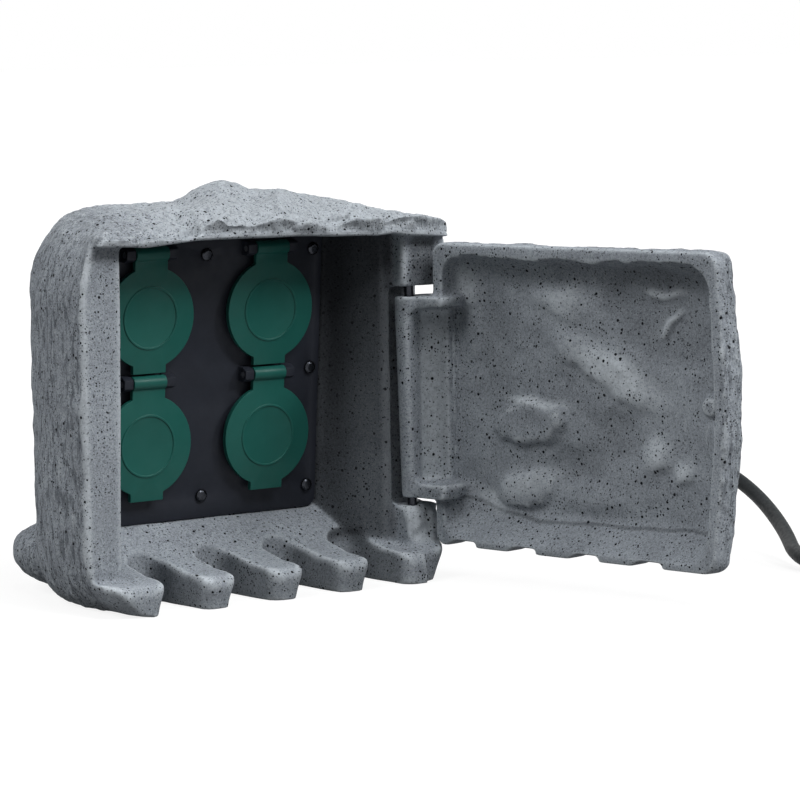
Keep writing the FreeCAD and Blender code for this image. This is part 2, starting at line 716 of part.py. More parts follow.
def lid(number, across, up):
    """One spring lid: a disc with a finger tab below, and a tab with a barrel above."""
    body = new_body(f"lid_{number}")
    under = "seat_ring_rise + free_gap + lid_gasket_thick"
    disc = new_sketch(body, "XY_Plane", under)
    draw_circle(disc, "0", "0", "lid_radius")
    add_feature(body, "Pad", disc, "lid_thick")
    doc.recompute()
    tabs = new_sketch(body, "XY_Plane", under)
    draw_corners(tabs, box_corners("-0.5*lid_tab_width", "0.5*lid_tab_width", "-1*lid_finger_reach", "barrel_up"))
    add_feature(body, "Pad", tabs, "lid_thick")
    doc.recompute()
    barrel = new_sketch(body, "YZ_Plane", "-0.5 * lid_tab_width")
    draw_circle(barrel, "barrel_up", "barrel_out", "barrel_radius")
    add_feature(body, "Pad", barrel, "lid_tab_width")
    doc.recompute()
    bore = new_sketch(body, "YZ_Plane", "-0.5 * lid_tab_width - 1")
    draw_circle(bore, "barrel_up", "barrel_out", "lid_pin_radius + running_fit")
    add_feature(body, "Pocket", bore, "lid_tab_width + 2", reverse=True)
    doc.recompute()
    room = new_sketch(body, "YZ_Plane", "-0.5 * spring_long - free_gap")
    draw_circle(room, "barrel_up", "barrel_out", "spring_radius + free_gap")
    add_feature(body, "Pocket", room, "spring_long + 2 * free_gap", reverse=True)
    doc.recompute()
    ring = new_sketch(body, "XY_Plane", under + " + lid_thick")
    draw_circle(ring, "0", "0", "lid_ring_radius")
    draw_circle(ring, "0", "0", "lid_ring_radius - lid_ring_wide")
    add_feature(body, "Pad", ring, "lid_ring_rise")
    body.Placement = plate_seat(across, up)


def lid_gasket(number, across, up):
    """The soft ring under one lid."""
    body = new_body(f"lid_gasket_{number}")
    low = "seat_ring_rise + free_gap"
    high = "seat_ring_rise + free_gap + lid_gasket_thick"
    inner, outer = "seat_ring_inner - 0.6", "seat_ring_outer"
    add_turned(body, [(inner, low), (outer, low), (outer, high), (inner, high)])
    body.Placement = plate_seat(across, up)


def lid_pins_and_springs():
    """The four hinge pins of the lids, and the closing spring round each."""
    pins, springs = [], []
    half = size("lid_tab_width") / 2 + size("free_gap") + size("post_wide")
    long = size("spring_long")
    for across, up in socket_spots():
        spot = Vector(across - half, up + size("barrel_up"), size("barrel_out"))
        pins.append(Part.makeCylinder(size("lid_pin_radius"), 2 * half, spot, Vector(1, 0, 0)))
        start = Vector(across - long / 2, spot.y, spot.z)
        coil = Part.makeCylinder(size("spring_radius"), long, start, Vector(1, 0, 0))
        bore = Part.makeCylinder(size("lid_pin_radius") + 0.1, long, start, Vector(1, 0, 0))
        springs.append(coil.cut(bore))
    for label, shapes in (("lid_pins", pins), ("lid_springs", springs)):
        feature = free_part(label, Part.makeCompound(shapes))
        feature.Placement = plate_seat()


# Door

def door_corner_wire(near, far, bottom, top, bulge, out, rounds):
    """One outline of the door in its shut pose: the far side is a shallow bow."""
    middle = (bottom + top) / 2
    share = (top - bottom) / (size("door_top") - size("door_bottom"))
    lean = size("door_lean")
    corners = [(-near, bottom), (-near, top), (-far, top), (-far - bulge * share, middle), (-far + lean, bottom)]
    rounds = rounds[:3] + [rounds[3] * share] + rounds[4:]
    return rounded_wire(corners, rounds, lambda spot: Vector(spot.x, -out, spot.y))


def in_front(depth):
    """Places a flat point (x, z) on a plane that faces the front."""
    return lambda spot: Vector(spot.x, depth, spot.y)


def hinge_arm():
    """The arm that carries the door: a tapered knuckle on the axis and the stone that joins it to the door."""
    low, high = size("arm_bottom"), size("arm_top")
    knuckle = Part.makeCone(size("arm_round_low"), size("arm_round"), high - low, Vector(0, 0, low))
    ends = []
    for height, tip in ((low, size("arm_round_low")), (high, size("arm_round"))):
        corners = [(tip, size("arm_back")), (-size("arm_reach"), size("arm_back")),
                   (-size("arm_reach"), -size("arm_front")), (tip, -size("arm_front"))]
        ends.append(rounded_wire(corners, [1.5, 0, 0, size("arm_end_round")], in_plan(height)))
    return knuckle.fuse(Part.makeLoft(ends, True, True))


def arm_recess(floor):
    """The hollow runs on into the arm: a plan outline and a front outline, crossed."""
    low, high = size("arm_bottom"), size("arm_top")
    mouth, far = size("arm_back") + 8, -size("arm_reach") - 6
    near = -size("arm_wall")
    plan = [(near, mouth), (far, mouth), (far, -floor), (near, -floor)]
    front = [(near, low + 7.5), (near, high - 7), (-16, high - 5), (far, high - 5), (far, low + 7.5)]
    deep = prism(plan, [0, 0, 0, 1.5], in_plan(low), Vector(0, 0, high - low))
    return deep.common(prism(front, [4, 4, 8, 0, 0], in_front(mouth + 1), Vector(0, -60, 0)))


def door_shell():
    """The outer stone form of the door less its hollow, with its arm, notches and pin bores."""
    near, far = size("door_near"), size("door_far")
    bottom, top = size("door_bottom"), size("door_top")
    bulge, depth, rim_plane = size("door_bulge"), size("door_depth"), size("door_rim_plane")
    outer = []
    for share, inset in ((0.0, 0.0), (0.16, -0.8), (0.35, -1.2), (0.52, 0.0), (0.68, 3.0), (0.79, 7.0),
                         (0.88, 12.0), (0.95, 19.0), (1.0, 30.0)):
        rounds = [6 + inset * 0.4, 7 + inset * 0.4, 8 + inset * 0.4, 130, 8 + inset * 0.4]
        outer.append(door_corner_wire(near + inset * 0.6, far - inset, bottom + max(inset, 0), top - max(inset, 0),
                                      bulge, rim_plane + share * (depth - rim_plane), rounds))
    form = Part.makeLoft(outer, True, True)
    rim, hollow = size("door_rim"), size("door_hollow")
    sill, sill_slope = size("door_sill"), size("door_sill_slope")
    inner = []
    for share, inset in ((-0.1, -0.3), (0.25, 0.2), (0.5, 1.4), (0.7, 3.2), (0.87, 6.0), (1.0, 11.0)):
        rounds = [10 + inset * 0.5, 12 + inset * 0.5, 14 + inset * 0.5, 120, 12 + inset * 0.5]
        floor = bottom + sill + sill_slope * share + inset * 0.4
        inner.append(door_corner_wire(near + rim + inset, far - rim - inset + 1.5, floor,
                                      top - rim - inset, bulge - 2.5, rim_plane + share * hollow, rounds))
    form = form.cut(Part.makeLoft(inner, True, True))
    arm = hinge_arm()
    form = form.fuse(arm).cut(arm_recess(rim_plane + hollow))
    half = size("slot_width") / 2
    notches = []
    for index in range(4):
        reach = size("hinge_x") - size("slot_first") - index * size("slot_pitch")
        mouth = [(half + 2.5 - reach, bottom - 1), (half - 5.5 - reach, bottom + size("notch_rise")),
                 (-half - reach, bottom + size("notch_rise")), (-half - reach, bottom - 1)]
        notches.append(prism(mouth, [0, 4, 1.5, 0], in_front(10), Vector(0, -60, 0)))
    low, high = size("arm_bottom"), size("arm_top")
    grip = size("door_pin_grip") + size("free_gap")
    pin_hole = size("door_pin_radius") + size("running_fit")
    bores = [Part.makeCylinder(pin_hole, grip, Vector(0, 0, low)),
             Part.makeCylinder(pin_hole, grip, Vector(0, 0, high - grip))]
    return form.cut(notches + bores)


def door():
    """Swings the shut door out to the pose of rest."""
    feature = free_part("door", door_shell())
    feature.Placement = Placement(Vector(size("hinge_x"), size("hinge_y"), 0),
                                  Rotation(Vector(0, 0, 1), size("door_rest_angle")))


def door_pins():
    """The two pins that carry the door's arm between the hinge blocks."""
    spot = Vector(size("hinge_x"), size("hinge_y"), 0)
    low_rise = 3
    pins = (("door_pin_top", size("arm_top") - size("door_pin_grip"),
             "upper_block_bottom + door_pin_seat - arm_top + door_pin_grip"),
            ("door_pin_bottom", size("lower_block_top") + low_rise - size("door_pin_seat"),
             f"arm_bottom + door_pin_grip - lower_block_top - {low_rise} + door_pin_seat"))
    for label, start, length in pins:
        body = new_body(label)
        across = new_sketch(body, "XY_Plane")
        draw_circle(across, "0", "0", "door_pin_radius")
        add_feature(body, "Pad", across, length)
        body.Placement = Placement(spot + Vector(0, 0, start), Rotation())


# Cable gland, cord and plug

def turned_along_x(label, corners, start):
    """A piece turned about the gland's axis, which points along +X, from (radius, along) corners."""
    body = new_body(label)
    add_turned(body, corners)
    body.Placement = Placement(Vector(start, size("gland_y"), size("gland_z")), Rotation(Vector(0, 1, 0), 90))
    return body


def hexagon(label, across_flats, bore, thick, start):
    """A six-sided nut on the gland's axis."""
    body = new_body(label)
    outline = new_sketch(body, "XY_Plane")
    corner = across_flats / math.sqrt(3)
    spots = [(corner * math.cos(math.radians(60 * k)), corner * math.sin(math.radians(60 * k))) for k in range(6)]
    draw_corners(outline, [(f"{x:.4f}", f"{y:.4f}") for x, y in spots])
    draw_circle(outline, "0", "0", bore)
    add_feature(body, "Pad", outline, thick)
    body.Placement = Placement(Vector(start, size("gland_y"), size("gland_z")), Rotation(Vector(0, 1, 0), 90))


def cable_gland():
    """The gland in the right wall: body, seal, cap and lock nut, with the cord's end through it."""
    wall = size("shell_right")
    turned_along_x("gland_body", [("cord_radius + free_gap", "-20"), ("gland_radius", "-20"), ("gland_radius", "0"),
                                  ("gland_radius + 3", "0"), ("gland_radius + 3", "4"), ("gland_radius - 0.5", "4"),
                                  ("gland_radius - 0.5", "14"), ("cord_radius + free_gap", "14")], wall)
    turned_along_x("gland_seal", [("cord_radius", "14"), ("gland_radius - 0.8", "14"),
                                  ("gland_radius - 1.6", "18"), ("cord_radius", "18")], wall)
    turned_along_x("gland_cap", [("gland_radius - 0.2", "4.3"), ("gland_radius + 2.5", "4.3"),
                                 ("gland_radius + 2.5", "15"), ("gland_radius - 0.5", "20"),
                                 ("cord_radius + 0.3", "20"), ("cord_radius + 0.3", "18.3"),
                                 ("gland_radius - 1.3", "18.3"), ("gland_radius - 0.2", "14")], wall)
    hexagon("gland_nut", 22.0, "gland_radius + running_fit", "4", wall - size("gland_wall") - 4)


def cord_profile(start, heading, radius):
    """The round section of a tube at its start."""
    return Part.Wire([Part.Circle(start, heading, radius).toShape()])


def bent_tube(points, radius):
    """A tube along straight runs joined by tangent arcs, as large as the runs allow."""
    edges = []
    start = points[0]
    bend_radii = []
    for before, here, after in zip(points, points[1:], points[2:]):
        back, ahead = before - here, after - here
        shorter = min(back.Length, ahead.Length)
        turn = math.pi - back.getAngle(ahead)
        bend = 0.45 * shorter / math.tan(turn / 2)
        bend_radii.append(round(bend, 1))
        reach = 0.45 * shorter
        to_back, to_ahead = back.normalize(), ahead.normalize()
        arc_start, arc_end = here + to_back * reach, here + to_ahead * reach
        bisector = (to_back + to_ahead).normalize()
        middle = here + bisector * (math.hypot(bend, reach) - bend)
        edges.append(Part.LineSegment(start, arc_start).toShape())
        edges.append(Part.Arc(arc_start, middle, arc_end).toShape())
        start = arc_end
    edges.append(Part.LineSegment(start, points[-1]).toShape())
    path = Part.Wire(edges)
    tube = path.makePipeShell([cord_profile(points[0], points[1] - points[0], radius)], True, False)
    share = tube.Volume / (math.pi * radius ** 2 * path.Length)
    print("tube: length", round(path.Length, 1), "volume share", round(share, 4), "radii", bend_radii)
    return tube


def cord_route():
    """The free stretch from the gland to the coil, chosen by hand."""
    start = Vector(size("shell_right") + size("sheath_reach"), size("gland_y"), size("gland_z"))
    floor = coil_level()
    return [start, Vector(186, 20, 49), Vector(238, 12, 49.5), Vector(282, -12, 45), Vector(307.3, -53, 39.3),
            Vector(306.2, -82.7, 27.9), Vector(289.2, -122.2, 14.6), Vector(264.2, -158, floor),
            Vector(264.5, -192, floor), Vector(264.5, -222, floor)]


def biarc(p0, t0, p1, t1):
    """Two tangent arcs from one point and heading to another."""
    span = p1 - p0
    both = t0 + t1
    a = 2 * (1 - t0.dot(t1))
    b = 2 * span.dot(both)
    c = -span.dot(span)
    reach = -c / b if abs(a) < 1e-9 else (-b + math.sqrt(b * b - 4 * a * c)) / (2 * a)
    q0, q1 = p0 + t0 * reach, p1 - t1 * reach
    joint = (q0 + q1) * 0.5
    arcs = []
    for start, corner, end in ((p0, q0, joint), (joint, q1, p1)):
        chord_middle = (start + end) * 0.5
        half = (end - start).Length / 2
        rise = (corner - chord_middle).Length
        leg = math.hypot(half, rise)
        sagitta = half * (leg - half) / rise if rise > 1e-9 else 0.0
        arcs.append(Part.Arc(start, chord_middle + (corner - chord_middle).normalize() * sagitta, end).toShape())
    return arcs


def coil_level():
    """The height of the coil's lower layer, which rests on the tie's band."""
    return size("cord_radius") + size("tie_thick") + 0.1


def coil_point(angle, centre, outer, pitch, turns, lift):
    """A point of the coil: in along the floor for some turns, up in a half turn, and out again."""
    full = 2 * math.pi
    climb_start, climb_end = turns * full, turns * full + math.pi
    low = coil_level()
    if angle <= climb_start:
        radius, height = outer - pitch * angle / full, low
    elif angle < climb_end:
        past = angle - climb_start
        share = past / math.pi
        radius = outer - pitch * turns - pitch / full * (past - past ** 2 / math.pi)
        height = low + lift * (3 * share ** 2 - 2 * share ** 3)
    else:
        radius, height = outer - pitch * turns + pitch * (angle - climb_end) / full, low + lift
    way = math.pi + angle
    return centre + Vector(radius * math.cos(way), radius * math.sin(way), height)


def cord_coil():
    """The put-away length: two layers of loops wound as one tube, then a rise to the plug."""
    thick = 2 * size("cord_radius")
    pitch, lift = thick + 0.6, thick + 0.5
    turns, outer = 2, size("coil_radius")
    start = cord_route()[-1]
    centre = Vector(start.x + outer, start.y, 0)
    total = 2 * turns * 2 * math.pi
    step = math.pi / 2
    count = round(total / step)
    args = (centre, outer, pitch, turns, lift)
    spots = [coil_point(k * step, *args) for k in range(count + 1)]
    headings = []
    for k in range(count + 1):
        ahead = coil_point(min(k * step + 0.001, total), *args)
        behind = coil_point(max(k * step - 0.001, 0), *args)
        headings.append((ahead - behind).normalize())
    headings[0] = (start - cord_route()[-2]).normalize()
    edges = []
    for k in range(count):
        edges += biarc(spots[k], headings[k], spots[k + 1], headings[k + 1])
    rise_end = spots[-1] + headings[-1] * 62
    rise_end.z = size("plug_radius") + 0.7
    edges += biarc(spots[-1], headings[-1], rise_end, headings[-1])
    path = Part.Wire(edges)
    tube = path.makePipeShell([cord_profile(spots[0], headings[0], size("cord_radius"))], True, False)
    samples = path.discretize(600)
    spacing = path.Length / 599
    skip = int(4 * size("cord_radius") / spacing) + 2
    least = min((samples[i] - samples[j]).Length for i in range(0, 600, 3) for j in range(i + skip, 600, 3))
    share = tube.Volume / (math.pi * size("cord_radius") ** 2 * path.Length)
    print("coil: length", round(path.Length, 1), "volume share", round(share, 4),
          "least gap", round(least - thick, 2))
    tie = block((centre.x + 27.4, centre.y - size("tie_wide") / 2, 0),
                (centre.x + 51.2, centre.y + size("tie_wide") / 2, coil_level() + lift + size("cord_radius") + 1.2))
    room = block((centre.x + 28.4, centre.y - 10, size("tie_thick")),
                 (centre.x + 50.2, centre.y + 10, coil_level() + lift + size("cord_radius") + 0.2))
    free_part("cord_tie", tie.cut(room))
    return tube, rise_end, headings[-1]


def supply_cord():
    """The cord from inside the gland to the plug, and what is on it."""
    axis_y, axis_z = size("gland_y"), size("gland_z")
    inner_end = size("shell_right") - size("sheath_inset")
    end = Part.makeCylinder(size("cord_radius"), size("sheath_inset") + size("sheath_reach"),
                            Vector(inner_end, axis_y, axis_z), Vector(1, 0, 0))
    free_part("cord_end", end)
    cord_leads(Vector(inner_end, axis_y, axis_z))
    free_part("supply_cord_run", bent_tube(cord_route(), size("cord_radius")))
    coil, tip, heading = cord_coil()
    free_part("supply_cord_coil", coil)
    plug(tip, heading)


def cord_leads(sheath_end):
    """The three cores from the sheath's end, round behind the nearest cup, to the backs of the busbars."""
    step = size("busbar_thick") + size("busbar_apart")
    bend_out = 0.4 * size("sheath_inset")
    cup_back = size("plate_y") + size("insert_depth")
    spread, rise, contact = size("socket_spread"), size("socket_rise"), size("contact_spread")
    cores = []
    for index, offset in enumerate((-contact, contact, 0.0)):
        turn = math.radians(90 + 120 * index)
        start = sheath_end + Vector(0, 1.9 * math.cos(turn), 1.9 * math.sin(turn))
        depth = -size("insert_depth") - size("busbar_thick") - index * step
        seat = plate_seat()
        end = seat.multVec(Vector(spread + offset, -rise, depth))
        behind = seat.multVec(Vector(spread + offset, -rise, depth - 7))
        near = Vector(start.x - bend_out, start.y, start.z)
        aside = Vector(start.x - 2 * bend_out, cup_back + 8 + 1.5 * index, start.z + bend_out)
        cores.append(bent_tube([start, near, aside, behind + Vector(0, 0, -3), end], size("core_radius")))
    free_part("cord_leads", Part.makeCompound(cores))


def plug(tip, heading):
    """The earthed plug at the cord's end: body with a tapered sleeve, two pins and two earth strips."""
    turn = Rotation(Vector(0, 0, 1), heading)
    seat = Placement(tip, turn)
    body = new_body("plug_body")
    add_turned(body, [("0", "0"), ("cord_radius + 1", "0"), ("cord_radius + 2.4", "26"), ("11.5", "30"),
                      ("13", "36"), ("13", "50"), ("plug_radius", "56"), ("plug_radius", "66"), ("0", "66")])
    doc.recompute()
    grooves = new_sketch(body, "XY_Plane", "67")
    for low, high in (("plug_radius - 1.2", "plug_radius + 2"), ("-1*plug_radius - 2", "-1*plug_radius + 1.2")):
        draw_corners(grooves, box_corners("-2.6", "2.6", low, high))
    add_feature(body, "Pocket", grooves, "10")
    body.Placement = seat
    strips = [block((-2.5, side * (size("plug_radius") - 0.8) - 0.4, 57),
                    (2.5, side * (size("plug_radius") - 0.8) + 0.4, 66)) for side in (-1, 1)]
    pins = []
    for side in (-1, 1):
        shank = Part.makeCylinder(size("plug_pin_radius"), size("plug_pin_length"),
                                  Vector(side * size("contact_spread"), 0, 66))
        rim = [edge for edge in shank.Edges if edge.isClosed() and edge.Vertexes[0].Z > 70]
        pins.append(shank.makeChamfer(1.0, rim))
    for label, shapes in (("plug_pins", pins), ("plug_earth_contacts", strips)):
        feature = free_part(label, Part.makeCompound(shapes))
        feature.Placement = seat


def build():
    """Makes every piece."""
    housing_shell()
    socket_plate()
    plate_gasket()
    plate_screws()
    for number, (across, up) in enumerate(socket_spots(), start=1):
        socket_insert(number, across, up)
        earth_clip(number, across, up)
        lid(number, across, up)
        lid_gasket(number, across, up)
    earth_screws()
    contact_sleeves()
    step = size("busbar_thick") + size("busbar_apart")
    busbar("live_busbar", -size("contact_spread"), 0.0, -9.0)
    busbar("neutral_busbar", size("contact_spread"), step, 9.0)
    busbar("earth_busbar", 0.0, 2 * step, 0.0)
    lid_pins_and_springs()
    door()
    door_pins()
    cable_gland()
    supply_cord()


build()
doc.recompute()
for item in doc.Objects:
    if "Invalid" in item.State or "Error" in item.State:
        raise RuntimeError(f"{item.Name} failed: {item.State}")
os.makedirs("parts", exist_ok=True)
for part in parts:
    shape = part.Shape
    if shape.isNull() or not shape.isValid():
        raise RuntimeError(f"{part.Label} has no sound shape")
    shape.exportStep(f"parts/{part.Label}.step")
    box = shape.BoundBox
    print(part.Label, len(shape.Solids), round(shape.Volume), [round(value, 1) for value in
          (box.XMin, box.YMin, box.ZMin, box.XMax, box.YMax, box.ZMax)])
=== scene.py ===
"""Dressed scene of an outdoor socket box of cast stone, with four lidded sockets and a swing door.

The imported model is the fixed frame. The stone pieces are cast again from its solids and weathered, the
plastic and metal pieces get eased edges, and the cord is drawn as one smooth line down to its plug.
Carving sizes are in millimetres, and meshes are in metres.
"""
import logging
import math
from dataclasses import dataclass
from enum import Enum
from typing import Any, Sequence

import bmesh
import bpy
import numpy as np
from mathutils import Matrix, Vector, noise


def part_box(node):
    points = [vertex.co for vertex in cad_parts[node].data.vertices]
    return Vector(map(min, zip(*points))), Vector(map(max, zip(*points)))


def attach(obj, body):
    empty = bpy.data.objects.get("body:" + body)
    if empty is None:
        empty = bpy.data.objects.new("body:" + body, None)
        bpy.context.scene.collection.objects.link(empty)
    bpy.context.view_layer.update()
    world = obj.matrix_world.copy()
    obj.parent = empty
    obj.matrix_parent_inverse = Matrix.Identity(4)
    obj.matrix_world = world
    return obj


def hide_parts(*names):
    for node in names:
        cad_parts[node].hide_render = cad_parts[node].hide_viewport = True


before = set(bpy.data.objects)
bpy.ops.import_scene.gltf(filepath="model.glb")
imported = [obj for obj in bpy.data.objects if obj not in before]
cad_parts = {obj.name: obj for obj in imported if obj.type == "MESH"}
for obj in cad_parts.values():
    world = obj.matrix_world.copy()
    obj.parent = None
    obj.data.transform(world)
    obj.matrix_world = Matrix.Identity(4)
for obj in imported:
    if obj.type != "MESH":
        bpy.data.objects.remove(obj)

LOG = logging.getLogger("outdoor_socket")
MM = 0.001


class Slot(Enum):
    """The record's material slots."""

    STONE = "cast_stone"
    GREEN = "green_plastic"
    BLACK = "black_plastic"
    SOFT = "soft_rubber"
    CORD = "cord_rubber"
    BRIGHT = "bright_steel"
    STEEL = "steel"
    BRASS = "brass"
    TIE = "tie_fabric"


class Body(Enum):
    """The bodies that pieces ride on."""

    HOUSING = "housing"
    DOOR = "door"

    @staticmethod
    def lid(number: int) -> str:
        """Names the body of one lid."""
        return f"lid_{number}"


def srgb(red: float, green: float, blue: float) -> tuple[float, float, float, float]:
    """Turns a colour as seen into Blender's linear colour.

    Args:
        red: The red part, 0 to 255.
        green: The green part.
        blue: The blue part.

    Returns:
        The colour with full alpha.
    """
    parts = [value / 255 for value in (red, green, blue)]
    linear = [part / 12.92 if part <= 0.04045 else ((part + 0.055) / 1.055) ** 2.4 for part in parts]
    return (*linear, 1.0)


def ramp(values: np.ndarray, start: float, end: float) -> np.ndarray:
    """Rises smoothly from 0 at start to 1 at end, or falls where end is the lower one."""
    share = np.clip((values - start) / (end - start), 0, 1)
    return share * share * (3 - 2 * share)


def within(values: np.ndarray, start: float, full: float, last: float, end: float) -> np.ndarray:
    """Rises from 0 at start to 1 at full, and falls from last back to 0 at end."""
    return ramp(values, start, full) * ramp(values, end, last)


# Shaders

class NodeBoard:
    """A node tree, with short calls to add and link nodes."""

    def __init__(self, tree: bpy.types.NodeTree) -> None:
        """Starts with an empty tree.

        Args:
            tree: The tree to build in.
        """
        self.tree = tree
        self.tree.nodes.clear()

    def node(self, kind: str, inputs: dict[str, Any] | None = None, **settings: Any) -> bpy.types.Node:
        """Adds one node.

        Args:
            kind: The node's type, without its ShaderNode prefix.
            inputs: Values or sockets by input name.
            settings: Properties of the node.

        Returns:
            The node.
        """
        made = self.tree.nodes.new(f"ShaderNode{kind}")
        for key, value in settings.items():
            setattr(made, key, value)
        for key, value in (inputs or {}).items():
            self.feed(made.inputs[key], value)
        return made

    def feed(self, socket: bpy.types.NodeSocket, value: Any) -> None:
        """Links a socket or sets a plain value.

        Args:
            socket: The input to feed.
            value: The socket to link, or the value to set.
        """
        if isinstance(value, bpy.types.NodeSocket):
            self.tree.links.new(value, socket)
        else:
            socket.default_value = value

    def maths(self, operation: str, first: Any, second: Any = 0.0) -> bpy.types.NodeSocket:
        """Adds one sum of two values.

        Args:
            operation: What is done with them.
            first: The first value or socket.
            second: The second value or socket.

        Returns:
            The result's socket.
        """
        made = self.node("Math", operation=operation)
        self.feed(made.inputs[0], first)
        self.feed(made.inputs[1], second)
        return made.outputs[0]


class ShaderBoard(NodeBoard):
    """A surface material's node tree, built round one Principled shader."""

    def __init__(self, name: str) -> None:
        """Starts an empty tree with the shader.

        Args:
            name: The material's name.
        """
        self.material = bpy.data.materials.new(name)
        self.material.use_nodes = True
        super().__init__(self.material.node_tree)
        self.shader = self.node("BsdfPrincipled")
        self.feed(self.node("OutputMaterial").inputs[0], self.shader.outputs[0])
        self.place = self.node("TexCoord").outputs["Object"]

    def stretched(self, across: float, painted_shade: float, high: float) -> bpy.types.NodeSocket:
        """Gives the piece's coordinates, scaled by axis."""
        made = self.node("Mapping", {"Vector": self.place, "Scale": (across, painted_shade, high)})
        return made.outputs[0]

    def noise(self, grain_mm: float, detail: float = 2.0, rough: float = 0.5,
              vector: bpy.types.NodeSocket | None = None) -> bpy.types.NodeSocket:
        """Gives noise whose lumps are about grain_mm across."""
        made = self.node("TexNoise", {"Vector": vector or self.place, "Scale": 1 / (grain_mm * MM),
                                      "Detail": detail, "Roughness": rough})
        return made.outputs["Fac"]

    def spread(self, value: Any, low: float, high: float, start: float = 0.0,
               end: float = 1.0) -> bpy.types.NodeSocket:
        """Maps low to start and high to end, clamped."""
        made = self.node("MapRange", {"Value": value, "From Min": low, "From Max": high,
                                      "To Min": start, "To Max": end}, clamp=True)
        return made.outputs[0]

    def mix(self, factor: Any, first: Any, second: Any) -> bpy.types.NodeSocket:
        """Mixes two colours.

        Args:
            factor: How much of the second there is.
            first: The first colour or socket.
            second: The second colour or socket.

        Returns:
            The mixed colour's socket.
        """
        made = self.node("Mix", data_type="RGBA")
        self.feed(made.inputs["Factor"], factor)
        self.feed(made.inputs[6], first)
        self.feed(made.inputs[7], second)
        return made.outputs[2]

    def attribute(self, name: str) -> bpy.types.NodeSocket:
        """Reads a weight that is stored on the mesh."""
        return self.node("Attribute", attribute_name=name).outputs["Fac"]

    def bump(self, height: Any, strength: float, depth_mm: float,
             under: bpy.types.NodeSocket | None = None) -> bpy.types.NodeSocket:
        """Adds relief.

        Args:
            height: The height's socket.
            strength: How strongly it shows.
            depth_mm: How deep it is.
            under: The normal of the relief below it.

        Returns:
            The normal's socket.
        """
        made = self.node("Bump", {"Height": height, "Strength": strength, "Distance": depth_mm * MM})
        if under is not None:
            self.feed(made.inputs["Normal"], under)
        return made.outputs[0]

    def finish(self, **inputs: Any) -> bpy.types.Material:
        """Feeds the Principled shader and gives the material.

        Args:
            inputs: Values or sockets by input name, with underscores for spaces.

        Returns:
            The finished material.
        """
        for key, value in inputs.items():
            self.feed(self.shader.inputs[key.replace("_", " ")], value)
        return self.material


